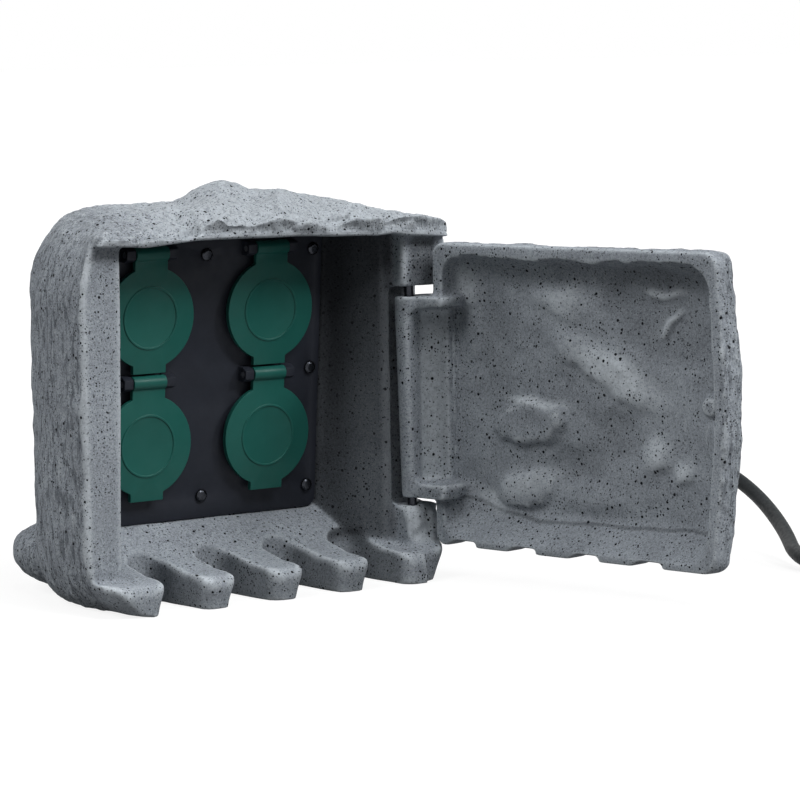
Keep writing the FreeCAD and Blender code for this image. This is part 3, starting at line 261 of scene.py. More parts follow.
@dataclass(frozen=True)
class StoneFinish:
    """Blue-grey cast stone with black specks, darker pits outside, paler worn edges, and painted highlights
    and painted shade where the mesh's weights ask.
    """

    pale: tuple[float, float, float] = (198, 205, 211)
    tone: tuple[float, float, float] = (146, 153, 161)
    shade: tuple[float, float, float] = (124, 130, 138)
    pit: tuple[float, float, float] = (62, 67, 75)
    speck: tuple[float, float, float] = (19, 20, 24)
    big_cell_mm: float = 3.3
    small_cell_mm: float = 1.7
    pepper_cell_mm: float = 1.0
    cloud_mm: float = 26
    flour_mm: float = 0.9
    flour_share: float = 0.42
    soot_mm: float = 1.3
    soot_share: float = 0.4
    hollow_mm: float = 2.5
    hollow_share: float = 0.62
    hollow_depth_mm: float = 1.5
    wear_and_light_share: float = 0.8
    painted_shade_share: float = 0.95
    upright_grain: float = 0.3

    def specks(self, board: ShaderBoard, cell_mm: float, kept: float, widest: float) -> bpy.types.NodeSocket:
        """Gives a mask of ragged dots.

        Args:
            board: The tree to add to.
            cell_mm: The mean distance between dots.
            kept: The share of dots that show.
            widest: The largest radius, as a share of the distance.

        Returns:
            The mask, 1 inside a dot.
        """
        ragged = board.node("TexNoise", {"Vector": board.place, "Scale": 1 / (0.8 * MM), "Detail": 1.0})
        shift = board.node("VectorMath", operation="SCALE")
        board.feed(shift.inputs[0], ragged.outputs["Color"])
        shift.inputs["Scale"].default_value = 0.55 * MM
        place = board.node("VectorMath", operation="ADD")
        board.feed(place.inputs[0], board.place)
        board.feed(place.inputs[1], shift.outputs[0])
        cells = board.node("TexVoronoi", {"Vector": place.outputs[0], "Scale": 1 / (cell_mm * MM)})
        split = board.node("SeparateColor", {"Color": cells.outputs["Color"]})
        radius = board.spread(split.outputs[0], 0.0, 1.0, widest * 0.35, widest)
        inside = board.maths("SUBTRACT", radius, cells.outputs["Distance"])
        dot = board.spread(inside, -0.015, 0.03)
        shown = board.maths("LESS_THAN", split.outputs[1], kept)
        return board.maths("MULTIPLY", dot, shown)

    def colour(self, board: ShaderBoard, grit: bpy.types.NodeSocket,
               pattern: bpy.types.NodeSocket) -> bpy.types.NodeSocket:
        """Mixes the stone's colour without its specks.

        Args:
            board: The tree to add to.
            grit: The weight of the rough places.
            pattern: The noise that the hollows follow.

        Returns:
            The colour's socket.
        """
        cloud = board.spread(board.noise(self.cloud_mm, 4, 0.6), 0.36, 0.64)
        base = board.mix(cloud, srgb(*self.shade), srgb(*self.tone))
        flour = board.spread(board.noise(self.flour_mm, 4, 0.75), 0.38, 0.62)
        base = board.mix(board.maths("MULTIPLY", flour, self.flour_share), base, srgb(*self.pale))
        soot = board.spread(board.noise(self.soot_mm, 3, 0.8), 0.5, 0.64)
        base = board.mix(board.maths("MULTIPLY", soot, self.soot_share), base, srgb(*self.pit))
        hollows = board.spread(pattern, 0.5, 0.58)
        hollows = board.maths("MULTIPLY", hollows, board.spread(grit, 0.0, 1.0, 0.12, 1.0))
        base = board.mix(board.maths("MULTIPLY", hollows, self.hollow_share), base, srgb(*self.pit))
        # Paler where worn, and where highlights and light are painted.
        patches = board.spread(board.noise(2.2, 3, 0.7), 0.3, 0.6, 0.35, 1.0)
        rubbed = board.maths("MULTIPLY", board.attribute("wear_and_light"), patches)
        return board.mix(board.maths("MULTIPLY", rubbed, self.wear_and_light_share), base, srgb(*self.pale))

    def all_specks(self, board: ShaderBoard, grit: bpy.types.NodeSocket) -> bpy.types.NodeSocket:
        """Puts the three sizes of specks together.

        Args:
            board: The tree to add to.
            grit: The weight of the rough places.

        Returns:
            The mask, 1 inside a speck.
        """
        patchy = board.spread(board.noise(13, 2), 0.38, 0.6, 0.45, 1.0)
        big = self.specks(board, self.big_cell_mm, 0.72, 0.25)
        small = self.specks(board, self.small_cell_mm, 0.8, 0.32)
        pepper = self.specks(board, self.pepper_cell_mm, 0.5, 0.36)
        dusting = board.maths("MULTIPLY", patchy, board.spread(grit, 0.0, 1.0, 0.7, 1.0))
        dots = board.maths("MAXIMUM", big, board.maths("MULTIPLY", small, patchy))
        return board.maths("MAXIMUM", dots, board.maths("MULTIPLY", pepper, dusting))

    def material(self, name: str) -> bpy.types.Material:
        """Builds the material, which reads the weights grit, wear and painted light, and painted shade from
        the mesh.

        Args:
            name: The material's name.

        Returns:
            The material.
        """
        board = ShaderBoard(name)
        grit = board.attribute("grit")
        upright = board.stretched(1.0, 1.0, self.upright_grain)
        coarse = board.noise(self.hollow_mm, 4, 0.75, upright)
        dots = self.all_specks(board, grit)
        base = board.mix(dots, self.colour(board, grit, coarse), srgb(*self.speck))
        # Painted shade: darkens towards the speck colour where the mesh's painted shade weight is set.
        shadowed = board.maths("MULTIPLY", board.attribute("painted_shade"), self.painted_shade_share)
        base = board.mix(shadowed, base, srgb(*self.speck))
        normal = board.bump(board.noise(0.8, 3, 0.7), 0.45, 0.35)
        normal = board.bump(board.maths("MULTIPLY", coarse, grit), 1.0, self.hollow_depth_mm, normal)
        normal = board.bump(board.maths("MULTIPLY", dots, -1.0), 0.4, 0.2, normal)
        rough = board.spread(dots, 0, 1, 0.9, 0.75)
        return board.finish(Base_Color=base, Roughness=rough, Normal=normal, Specular_IOR_Level=0.12)


@dataclass(frozen=True)
class PlasticFinish:
    """Moulded plastic with a fine grain, faint rubbing and a soft gloss."""

    name: str
    colour: tuple[float, float, float]
    rubbed: tuple[float, float, float]
    roughness: float = 0.42
    grain_mm: float = 0.5
    relief: float = 0.12
    gloss_level: float = 0.18

    def material(self) -> bpy.types.Material:
        """Builds the material.

        Returns:
            The material.
        """
        board = ShaderBoard(self.name)
        mottle = board.spread(board.noise(9, 3, 0.6), 0.35, 0.68)
        scuffs = board.spread(board.noise(1.4, 5, 0.75, board.stretched(1.0, 1.0, 0.3)), 0.56, 0.74)
        base = board.mix(board.maths("MULTIPLY", mottle, 0.3), srgb(*self.colour), srgb(*self.rubbed))
        base = board.mix(board.maths("MULTIPLY", scuffs, 0.18), base, srgb(*self.rubbed))
        gloss = board.spread(board.noise(4, 3), 0.3, 0.7, self.roughness - 0.05, self.roughness + 0.09)
        normal = board.bump(board.noise(self.grain_mm, 2), self.relief, 0.08)
        return board.finish(Base_Color=base, Roughness=gloss, Normal=normal,
                            Specular_IOR_Level=self.gloss_level)


@dataclass(frozen=True)
class MetalFinish:
    """Metal with a fine brushed grain and slightly tarnished patches."""

    name: str
    colour: tuple[float, float, float]
    tarnish: tuple[float, float, float]
    roughness: float = 0.26

    def material(self) -> bpy.types.Material:
        """Builds the material.

        Returns:
            The material.
        """
        board = ShaderBoard(self.name)
        patches = board.spread(board.noise(2.4, 4, 0.65), 0.45, 0.7)
        base = board.mix(board.maths("MULTIPLY", patches, 0.5), srgb(*self.colour), srgb(*self.tarnish))
        gloss = board.spread(board.noise(0.7, 3), 0.3, 0.7, self.roughness - 0.06, self.roughness + 0.12)
        normal = board.bump(board.noise(0.35, 2, 0.5, board.stretched(1.0, 6.0, 1.0)), 0.1, 0.05)
        return board.finish(Base_Color=base, Roughness=gloss, Normal=normal, Metallic=1.0)


@dataclass(frozen=True)
class RubberFinish:
    """Dull rubber with a fine pebble, a little dust and a faint sheen."""

    name: str
    colour: tuple[float, float, float]
    dust: tuple[float, float, float]
    roughness: float = 0.55

    def material(self) -> bpy.types.Material:
        """Builds the material.

        Returns:
            The material.
        """
        board = ShaderBoard(self.name)
        painted_roof_light_and_hewn_wear = board.spread(board.noise(5, 4, 0.65), 0.45, 0.75)
        base = board.mix(board.maths("MULTIPLY", painted_roof_light_and_hewn_wear, 0.3), srgb(*self.colour), srgb(*self.dust))
        gloss = board.spread(board.noise(2.0, 3), 0.3, 0.7, self.roughness - 0.07, self.roughness + 0.1)
        normal = board.bump(board.noise(0.6, 3), 0.18, 0.1)
        return board.finish(Base_Color=base, Roughness=gloss, Normal=normal, Specular_IOR_Level=0.2)


@dataclass(frozen=True)
class WebbingFinish:
    """Woven tape, with ribs across the strap."""

    name: str = "tie_webbing"
    thread: tuple[float, float, float] = (34, 36, 40)
    gap: tuple[float, float, float] = (14, 15, 17)
    rib_mm: float = 0.9

    def material(self) -> bpy.types.Material:
        """Builds the material.

        Returns:
            The material.
        """
        board = ShaderBoard(self.name)
        weave = board.node("TexWave", {"Vector": board.place, "Scale": 0.32 / (self.rib_mm * MM),
                                       "Distortion": 0.6, "Detail": 1.0}, bands_direction="DIAGONAL")
        fuzz = board.noise(0.5, 3)
        ribs = board.maths("MULTIPLY", weave.outputs["Fac"], fuzz)
        base = board.mix(board.spread(ribs, 0.1, 0.5), srgb(*self.gap), srgb(*self.thread))
        normal = board.bump(ribs, 0.5, 0.25)
        return board.finish(Base_Color=base, Roughness=0.85, Normal=normal)


class Finishes:
    """Every finish of the object, made once and shared."""

    def __init__(self) -> None:
        """Builds one material for each slot."""
        self.by_slot: dict[Slot, bpy.types.Material] = {
            Slot.STONE: StoneFinish().material("cast_stone_finish"),
            Slot.GREEN: PlasticFinish("lid_green", (27, 88, 80), (36, 98, 90), 0.38).material(),
            Slot.BLACK: PlasticFinish("plate_black", (33, 36, 44), (44, 48, 57), 0.5).material(),
            Slot.SOFT: RubberFinish("seal_rubber", (26, 27, 29), (48, 50, 52), 0.7).material(),
            Slot.CORD: RubberFinish("cord_rubber_finish", (10, 16, 19), (22, 29, 32)).material(),
            Slot.BRIGHT: MetalFinish("bright_nickel", (206, 208, 212), (150, 152, 156), 0.22).material(),
            Slot.STEEL: MetalFinish("pin_steel", (168, 170, 174), (116, 118, 122), 0.32).material(),
            Slot.BRASS: MetalFinish("contact_brass", (196, 160, 92), (138, 104, 58), 0.3).material(),
            Slot.TIE: WebbingFinish().material(),
        }
        # Darkened steel as painted shade, for screws and pins that lie in shadow.
        self.shade_dark_steel = MetalFinish("painted_shade_steel", (52, 54, 59), (30, 31, 34), 0.24).material()

    def dress(self, piece: bpy.types.Object, slot: Slot) -> None:
        """Puts one finish on a new piece and names its slot.

        Args:
            piece: The piece.
            slot: Its material slot.
        """
        piece.data.materials.clear()
        piece.data.materials.append(self.by_slot[slot])

    def dress_node(self, node: str, slot: Slot) -> None:
        """Puts one finish on a carried-over CAD node.

        Args:
            node: The node.
            slot: Its material slot.
        """
        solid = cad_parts[node]
        if not solid.material_slots:
            solid.data.materials.append(None)
        for place in solid.material_slots:
            place.material = self.by_slot[slot]

    def darken_as_shade(self, piece: bpy.types.Object) -> None:
        """Gives a dressed piece the darkened steel, as painted shade."""
        for place in piece.material_slots:
            place.material = self.shade_dark_steel


# Mesh helpers

def new_object(name: str, mesh: bpy.types.Mesh) -> bpy.types.Object:
    """Adds an object to the scene.

    Args:
        name: The object's name.
        mesh: Its mesh.

    Returns:
        The object.
    """
    made = bpy.data.objects.new(name, mesh)
    bpy.context.scene.collection.objects.link(made)
    return made


def welded_copy(node: str) -> bmesh.types.BMesh:
    """Copies a CAD node's mesh with its split corners joined again.

    Args:
        node: The node.

    Returns:
        The copy, in metres.
    """
    copy = bmesh.new()
    copy.from_mesh(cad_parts[node].data)
    bmesh.ops.remove_doubles(copy, verts=copy.verts, dist=1e-6)
    return copy


def shade(mesh: bpy.types.Mesh, angle: float = 38.0) -> None:
    """Shades smooth up to an angle in degrees."""
    mesh.shade_smooth()
    mesh.set_sharp_from_angle(angle=math.radians(angle))


@dataclass(frozen=True)
class EasedCopy:
    """A hard piece rebuilt from its CAD node with rounded edges."""

    node: str
    slot: Slot
    body: str
    ease_mm: float = 0.4
    steps: int = 2
    angle: float = 32.0

    def build(self, finishes: Finishes) -> bpy.types.Object:
        """Rebuilds the piece.

        Args:
            finishes: The finishes to dress it with.

        Returns:
            The piece, which stands for its CAD node.
        """
        form = welded_copy(self.node)
        bmesh.ops.dissolve_limit(form, angle_limit=math.radians(0.7), verts=form.verts, edges=form.edges)
        sharp = [edge for edge in form.edges
                 if len(edge.link_faces) == 2 and edge.calc_face_angle(0.0) > math.radians(self.angle)]
        bmesh.ops.bevel(form, geom=sharp, offset=self.ease_mm * MM, offset_type="OFFSET", affect="EDGES",
                        segments=self.steps, profile=0.5, clamp_overlap=True)
        bmesh.ops.triangulate(form, faces=[face for face in form.faces if len(face.verts) > 4])
        mesh = bpy.data.meshes.new(f"{self.node}_eased")
        form.to_mesh(mesh)
        form.free()
        shade(mesh)
        piece = new_object(f"{self.node}_eased", mesh)
        finishes.dress(piece, self.slot)
        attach(piece, self.body)
        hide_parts(self.node)
        LOG.info("%s: %d faces", piece.name, len(mesh.polygons))
        return piece


@dataclass(frozen=True)
class Lump:
    """A rounded mound or dent on a face, in that face's own millimetres."""

    across: float
    up: float
    wide: float
    tall: float
    rise: float
    turn: float = 0.0
    edge: float = 2.0

    def height(self, across: np.ndarray, up: np.ndarray) -> np.ndarray:
        """Gives how far it stands up at each point.

        Args:
            across: The points' places along the face.
            up: The points' heights on the face.

        Returns:
            The rise in millimetres.
        """
        turn = math.radians(self.turn)
        right = (across - self.across) * math.cos(turn) + (up - self.up) * math.sin(turn)
        high = (up - self.up) * math.cos(turn) - (across - self.across) * math.sin(turn)
        far = (right / (self.wide / 2)) ** 2 + (high / (self.tall / 2)) ** 2
        return self.rise * np.exp(-far ** (self.edge / 2))


@dataclass(frozen=True)
class Region:
    """A soft-edged region of a surface, given by places along its axes in millimetres.

    Along an axis the weight goes from 0 to 1 between the first two places, and back to 0 between the last
    two where there are four. An axis without places isn't limited.
    """

    x: tuple[float, ...] = ()
    y: tuple[float, ...] = ()
    z: tuple[float, ...] = ()

    def weight(self, points: np.ndarray) -> np.ndarray:
        """Weighs each point.

        Args:
            points: The points.

        Returns:
            The weights, 1 well inside.
        """
        total = np.ones(len(points))
        for values, places in zip(points.T, (self.x, self.y, self.z)):
            if places:
                total *= ramp(values, places[0], places[1])
            if len(places) == 4:
                total *= ramp(values, places[3], places[2])
        return total


class StoneSurface:
    """A closed stone surface, cast again as an even mesh and shaped point by point."""

    def __init__(self, node: str, voxel_mm: float, to_local: Matrix) -> None:
        """Copies a CAD node and casts it as an even mesh.

        Args:
            node: The CAD node.
            voxel_mm: The size of the mesh's faces.
            to_local: Turns the object's frame into the piece's own frame, both in metres.
        """
        self.node = node
        self.to_local = to_local
        form = welded_copy(node)
        bmesh.ops.transform(form, matrix=to_local, verts=form.verts)
        rough = bpy.data.meshes.new(f"{node}_rough")
        form.to_mesh(rough)
        form.free()
        blank = new_object(f"{node}_blank", rough)
        cast = blank.modifiers.new("Cast", "REMESH")
        cast.mode = "VOXEL"
        cast.voxel_size = voxel_mm * MM
        graph = bpy.context.evaluated_depsgraph_get()
        self.mesh = bpy.data.meshes.new_from_object(blank.evaluated_get(graph))
        bpy.data.objects.remove(blank)
        self.mesh.name = f"{node}_cast"
        count = len(self.mesh.vertices)
        flat = np.empty(count * 3)
        self.mesh.vertices.foreach_get("co", flat)
        self.points = flat.reshape(-1, 3) / MM
        ends = np.empty(len(self.mesh.edges) * 2, dtype=np.int64)
        self.mesh.edges.foreach_get("vertices", ends)
        self.starts, self.stops = ends[0::2], ends[1::2]
        self.linked = np.bincount(ends, minlength=count)

    def neighbour_mean(self, values: np.ndarray) -> np.ndarray:
        """Gives the mean of each point's neighbours.

        Args:
            values: One value or three for each point.

        Returns:
            The means, in the same form.
        """
        if values.ndim == 1:
            total = np.bincount(self.starts, values[self.stops], len(values))
            total += np.bincount(self.stops, values[self.starts], len(values))
            return total / self.linked
        return np.column_stack([self.neighbour_mean(values[:, axis]) for axis in range(3)])

    def soften(self, rounds: int, weight: np.ndarray | float = 1.0) -> None:
        """Rounds the edges and corners over.

        Args:
            rounds: How many times each point moves halfway to its neighbours' mean.
            weight: How much of each step is taken, by point.
        """
        share = 0.5 * np.asarray(weight)
        share = share[:, None] if share.ndim else share
        for _ in range(rounds):
            self.points += (self.neighbour_mean(self.points) - self.points) * share

    def normals(self) -> np.ndarray:
        """Gives each point's outward direction.

        Returns:
            One direction of length 1 for each point.
        """
        self.mesh.vertices.foreach_set("co", (self.points * MM).ravel())
        self.mesh.update()
        flat = np.empty(len(self.points) * 3)
        self.mesh.vertex_normals.foreach_get("vector", flat)
        return flat.reshape(-1, 3)

    def push(self, height: np.ndarray) -> None:
        """Moves each point outward by a height."""
        self.points += self.normals() * height[:, None]

    def fractal(self, wave_mm: float, octaves: int, seed: float,
                stretch: Sequence[float] = (1, 1, 1), where: np.ndarray | None = None) -> np.ndarray:
        """Gives rough noise at each point.

        Args:
            wave_mm: The size of its largest lumps.
            octaves: How many finer layers it has.
            seed: Where in the noise it starts.
            stretch: How much longer its lumps are, by axis.
            where: A weight, and no noise is worked out where it is zero.

        Returns:
            Values from about -1 to 1.
        """
        scaled = self.points / (wave_mm * np.asarray(stretch, float)) + seed
        picked = np.arange(len(scaled)) if where is None else np.flatnonzero(where > 0)
        values = np.zeros(len(scaled))
        values[picked] = [noise.fractal(spot, 0.8, 2.0, octaves) for spot in scaled[picked].tolist()]
        return values

    def facets(self, size_mm: float, seed: float, where: np.ndarray,
               stretch: Sequence[float] = (1, 1, 1)) -> np.ndarray:
        """Gives the heights of a chipped surface: each cell is a flat face with its own tilt.

        Args:
            size_mm: The size of the faces.
            seed: Where in the pattern it starts.
            where: A weight, and nothing is worked out where it is zero.
            stretch: How much longer the faces are, by axis.

        Returns:
            Values from about -1 to 1.
        """
        scaled = self.points / (size_mm * np.asarray(stretch, float)) + seed
        values = np.zeros(len(scaled))
        for index in np.flatnonzero(where > 0):
            spot = Vector(scaled[index])
            centre = noise.voronoi(spot)[1][0]
            tilt = noise.cell_vector(centre * 9.7)
            values[index] = (tilt - Vector((0.5, 0.5, 0.5))).dot(spot - centre) * 2 + tilt.x - 0.5
        return values

    def build(self, name: str, body: str, grit: np.ndarray, finishes: Finishes,
              extra_wear_and_light: np.ndarray | None = None, painted_shade: np.ndarray | None = None) -> bpy.types.Object:
        """Makes the piece with its weights and finish.

        Args:
            name: The piece's name.
            body: The body it rides on.
            grit: Where the stone is rough, by point.
            finishes: The finishes to dress it with.
            extra_wear_and_light: Paler places by point, from wear and from painted highlights and painted
                light.
            painted_shade: Painted shade, darker places, by point.

        Returns:
            The piece, which stands for its CAD node.
        """
        ways = self.normals()
        out = ((self.points - self.neighbour_mean(self.points)) * ways).sum(axis=1)
        for _ in range(3):
            out = 0.5 * out + 0.5 * self.neighbour_mean(out)
        # Convex edges are paler as wear; the piece adds its own wear, painted highlights and painted light.
        wear_and_light = ramp(out, 0.02, 0.12)
        if extra_wear_and_light is not None:
            wear_and_light = np.maximum(wear_and_light, extra_wear_and_light)
        painted_shade = np.zeros(len(wear_and_light)) if painted_shade is None else painted_shade
        self.mesh.transform(self.to_local.inverted())
        for label, weight in (("grit", grit), ("wear_and_light", wear_and_light), ("painted_shade", painted_shade)):
            layer = self.mesh.attributes.new(label, "FLOAT", "POINT")
            layer.data.foreach_set("value", weight.astype(np.float32))
        self.mesh.shade_smooth()
        piece = new_object(name, self.mesh)
        finishes.dress(piece, Slot.STONE)
        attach(piece, body)
        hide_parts(self.node)
        LOG.info("%s: %d faces", name, len(self.mesh.polygons))
        return piece


@dataclass(frozen=True)
class Grain:
    """A layer of rough noise on a stone surface."""

    wave_mm: float
    octaves: int
    seed: float
    rise: float
    stretch: tuple[float, float, float] = (1, 1, 1)

    def heights(self, stone: StoneSurface, where: np.ndarray) -> np.ndarray:
        """Gives its height in millimetres at each point where the weight isn't zero."""
        return self.rise * stone.fractal(self.wave_mm, self.octaves, self.seed, self.stretch, where)


# Stone pieces

@dataclass
class StoneHousing:
    """The box: rough outside, chiselled along the roof's edge and smooth in its pocket and on its feet."""

    voxel: float = 1.35
    jamb_front: float = -47.0
    pocket_left: float = -66.5
    roof_underside: float = 172.5
    fascia_plane: float = -56.0
    eave_places: tuple[float, ...] = (-90, -80, -53, -39, -25, 0, 33, 60, 81, 91, 98, 115, 126)
    eave_heights: tuple[float, ...] = (3.0, 3.4, 1.6, 2.8, 4.1, 4.0, 3.3, 2.1, 1.1, 2.1, 0.8, -0.5, -1.5)
    ridge_places: tuple[float, ...] = (-84, -60, -28, -20, -14, -7, 20, 45, 56, 66, 82, 89, 93, 106, 126)
    ridge_heights: tuple[float, ...] = (
        181, 177, 177, 184, 187, 184, 183.5, 181.5, 179.5, 184, 184.5, 181.5, 184.5, 183.5, 182)
    roof_slope: float = 0.6
    centre: tuple[float, float] = (18.0, 5.0)
    toe_row: tuple[float, float, float] = (-61.4, 39.8, 10.4)
    crown_places: tuple[float, ...] = (
        -80, -62, -45, -34, -22, -8, 3, 14, 26, 33, 42, 50, 60, 72, 84, 98, 117, 136, 150, 162)
    crown_heights: tuple[float, ...] = (
        2.4, -0.2, -2.4, -3.2, -3.0, -1.3, -3.1, -2.0, -0.4, -1.6, -3.8, -1.8, 3.1, -0.5, -1.4, -1.8, -3.2,
        -1.9, 0.0, 3.0)
    crown_slant: float = 0.67
    roof_lumps: tuple[Lump, ...] = (
        Lump(-62, -10, 34, 30, 1.5), Lump(26, 4, 26, 30, 1.6), Lump(4, 8, 16, 34, -2.2),
        Lump(60, 4, 14, 34, -1.2), Lump(72, -6, 18, 26, 2.0), Lump(88, -14, 22, 24, 2.6),
        Lump(-20, 20, 40, 26, 1.2), Lump(-40, -20, 22, 18, -1.4), Lump(48, -26, 20, 12, -1.6),
        Lump(2, -28, 24, 12, 1.2))
    fascia_clefts: tuple[Lump, ...] = (
        Lump(-27, 183, 4, 18, 2.2, -20), Lump(-20, 181, 3, 16, 2.6, -12), Lump(-33, 182, 3, 12, 1.4, -24),
        Lump(88, 181, 4, 10, 1.8, 10), Lump(52, 180, 16, 5, 1.2, 6), Lump(8, 181, 24, 4, 1.0, -4))
    jamb_shift: float = 2.8
    seat_depth: float = 1.4
    end_shift: tuple[float, float] = (4.8, 1.2)
    pit_depth: float = 1.1
    chisel_rise: float = 1.3
    undercut_depth: float = 2.6
    hewn_rise: float = 1.5
    # Layers of noise
    wobble: Grain = Grain(9, 2, 4.9, 0.8)
    broad: Grain = Grain(34, 3, 3.1, 0.9)
    side_grain: Grain = Grain(5.5, 3, 7.7, 0.85, (1, 1, 3.0))
    roof_chips: Grain = Grain(8, 4, 5.3, 0.9)
    roof_pits: Grain = Grain(4.5, 3, 9.9, 1.0, (1.6, 1, 1))
    strokes: Grain = Grain(5, 3, 6.6, 2.6, (1, 1.6, 1.6))
    hand_waves: Grain = Grain(30, 2, 9.4, 0.3)
    # Regions in the object's own frame
    eave: Region = Region(y=(-30, -46), z=(166, 174.5, 178, 190))
    jamb: Region = Region(x=(-76, -69, -62, -59), y=(-26, -38), z=(20, 160))
    seat: Region = Region(x=(-84, -80, -64, -60), y=(-55, -51, -46, -43), z=(10, 15, 21, 26))
    under_door: Region = Region(y=(-36, -42), z=(25, 19))
    roof_end: Region = Region(x=(108, 116), y=(-38, -44), z=(170, 171.5))
    fascia: Region = Region(y=(-42, -48), z=(171, 174.5))
    stroke_band: Region = Region(x=(-78, -68, -24, -18))
    undercut: Region = Region(x=(-22, -12), z=(184, 176))
    hewn_face: Region = Region(x=(101, 103), y=(-42, -46), z=(17, 21, 37, 39))
    # Regions of painted shade.
    shaded_wall: Region = Region(x=(67, 70, 98, 101), y=(-44, -41, 14, 20), z=(15, 24))
    shaded_block: Region = Region(x=(103, 107, 119, 121), y=(-54, -50), z=(140, 143, 172, 174))
    shaded_slot_sides: Region = Region(x=(-74, -70, 96, 99), y=(-64, -56, -16, -10), z=(21, 17))
    shaded_fascia: Region = Region(x=(-19, -14), y=(-50, -53), z=(173, 175))

    def grit(self, points: np.ndarray, ways: np.ndarray) -> np.ndarray:
        """Weighs where the stone is rough: the left side, back, right side and roof.

        Args:
            points: The surface's points.
            ways: Their outward directions.

        Returns:
            The weight of each point.
        """
        x, y, z = points.T
        left = ramp(x, self.pocket_left, self.pocket_left - 3)
        left = left * ramp(y, self.jamb_front + 0.6, self.jamb_front + 5)
        aside, behind = x - self.centre[0], y - self.centre[1]
        outward = (ways[:, 0] * aside + ways[:, 1] * behind) / (np.hypot(aside, behind) + 1e-6)
        round_back = ramp(outward, 0.15, 0.45) * ramp(y, -4, 4)
        flat_back = ramp(y, 46, 52) * ramp(outward, -0.2, 0.1)
        right = ramp(x, 108, 113) * ramp(y, -40, -33)
        roof = ramp(z, self.roof_underside + 1.0, self.roof_underside + 4) * ramp(ways[:, 2], -0.75, -0.2)
        return np.maximum.reduce([left, round_back, flat_back, right, roof])

    def painted_shade_weight(self, points: np.ndarray, ways: np.ndarray) -> np.ndarray:
        """Weighs the painted shade: the pocket's right wall, the upper hinge block, the slots' sides and the
        fascia, where they lie in shadow.

        Args:
            points: The surface's points.
            ways: Their outward directions.

        Returns:
            The weight of each point.
        """
        _, y, z = points.T
        upright = ramp(ways[:, 2], 0.6, 0.35)
        # Painted shade on the right wall grows towards the top and further into the pocket.
        wall = self.shaded_wall.weight(points) * (0.62 + 0.22 * ramp(z, 20, 165) + 0.14 * ramp(y, -34, -16))
        block = self.shaded_block.weight(points)
        slots = self.shaded_slot_sides.weight(points) * ramp(np.abs(ways[:, 0]), 0.5, 0.8)
        fascia = self.shaded_fascia.weight(points) * ramp(ways[:, 2], 0.55, 0.25)
        return np.clip((wall + 0.5 * block) * upright + 0.3 * slots + 0.22 * fascia, 0, 1)

    def set_edges(self, stone: StoneSurface) -> None:
        """Shifts the eaves and the jamb, and sinks the left foot where the shut door comes down to it.

        Args:
            stone: The surface to shape.
        """
        shift = np.interp(stone.points[:, 0], self.eave_places, self.eave_heights)
        stone.points[:, 2] += self.eave.weight(stone.points) * shift
        stone.points[:, 0] += self.jamb.weight(stone.points) * self.jamb_shift
        stone.points[:, 2] -= self.seat.weight(stone.points) * self.seat_depth

    def taper_toes(self, stone: StoneSurface) -> None:
        """Draws the feet in towards the ground, most at their fronts and right sides.

        Args:
            stone: The surface to shape.
        """
        x, y, z = stone.points.T
        first, pitch, half_wide = self.toe_row
        aside = (x - first + pitch / 2) % pitch - pitch / 2
        ahead = np.clip((-36 - y) / 30, 0, 1)
        reach = ahead * ramp(z, 22, 16) * ramp(x, 84, 80)
        draft = 1.0 + 3.4 * ramp(z, 14, 0)
        rightward = np.clip(aside / half_wide, 0, 1) * ramp(x, first - 2, first + 2)
        leftward = np.clip(-aside / half_wide, 0, 1) * ramp(x, first + pitch / 2, first + pitch / 2 + 1)
        stone.points[:, 0] += reach * draft * (0.3 * leftward - rightward)
        stone.points[:, 1] += reach * draft * ahead * 0.6

    def plane_roof(self, stone: StoneSurface) -> None:
        """Cuts the front of the roof back to a slope that starts at an uneven ridge.

        Args:
            stone: The surface to shape.
        """
        x, y, z = stone.points.T
        slope = self.roof_slope
        ridge = np.interp(x, self.ridge_places, self.ridge_heights)
        ridge = ridge + self.wobble.heights(stone, ramp(y, -20, -30))
        steep = np.array((0.0, -slope, 1.0)) / math.hypot(slope, 1)
        over = np.clip((z - ridge - slope * (y - self.fascia_plane)) * steep[2], 0, None)
        stone.points -= over[:, None] * steep

    def weather(self, stone: StoneSurface, grit: np.ndarray, ways: np.ndarray) -> None:
        """Roughens the sides and the roof, and raises the roof's lumps.

        Args:
            stone: The surface to shape.
            grit: Where it is rough.
            ways: The points' outward directions.
        """
        x, y, z = stone.points.T
        side = grit * ramp(z, 176, 166)
        roof = grit * ramp(z, 168, 176)
        relief = self.broad.heights(stone, grit) * grit
        relief += self.side_grain.heights(stone, side) * side
        relief += self.roof_chips.heights(stone, roof) * roof
        pits = np.clip(self.roof_pits.heights(stone, roof) - 0.15, 0, 1)
        relief -= self.pit_depth * pits * roof
        stone.push(relief * (1 - self.under_door.weight(stone.points)))
        lumps = sum(lump.height(x, y) for lump in self.roof_lumps)
        stone.points[:, 2] += lumps * roof * ramp(ways[:, 2], 0.1, 0.5)

    def shape_crown(self, stone: StoneSurface) -> None:
        """Gives the roof its outline from the front, and blunts its right end.

        Args:
            stone: The surface to shape.
        """
        x, y, z = stone.points.T
        crown = np.interp(x - self.crown_slant * y, self.crown_places, self.crown_heights)
        low_end = ramp(x, 100, 114)
        stone.points[:, 2] += crown * np.clip((z - 178 + 4.5 * low_end) / (9 - 5 * low_end), 0, 1)
        upper, lower = self.end_shift
        shift = upper * ramp(z, 173.5, 177) - lower * ramp(z, 175, 172.5)
        stone.points[:, 0] += self.roof_end.weight(stone.points) * shift

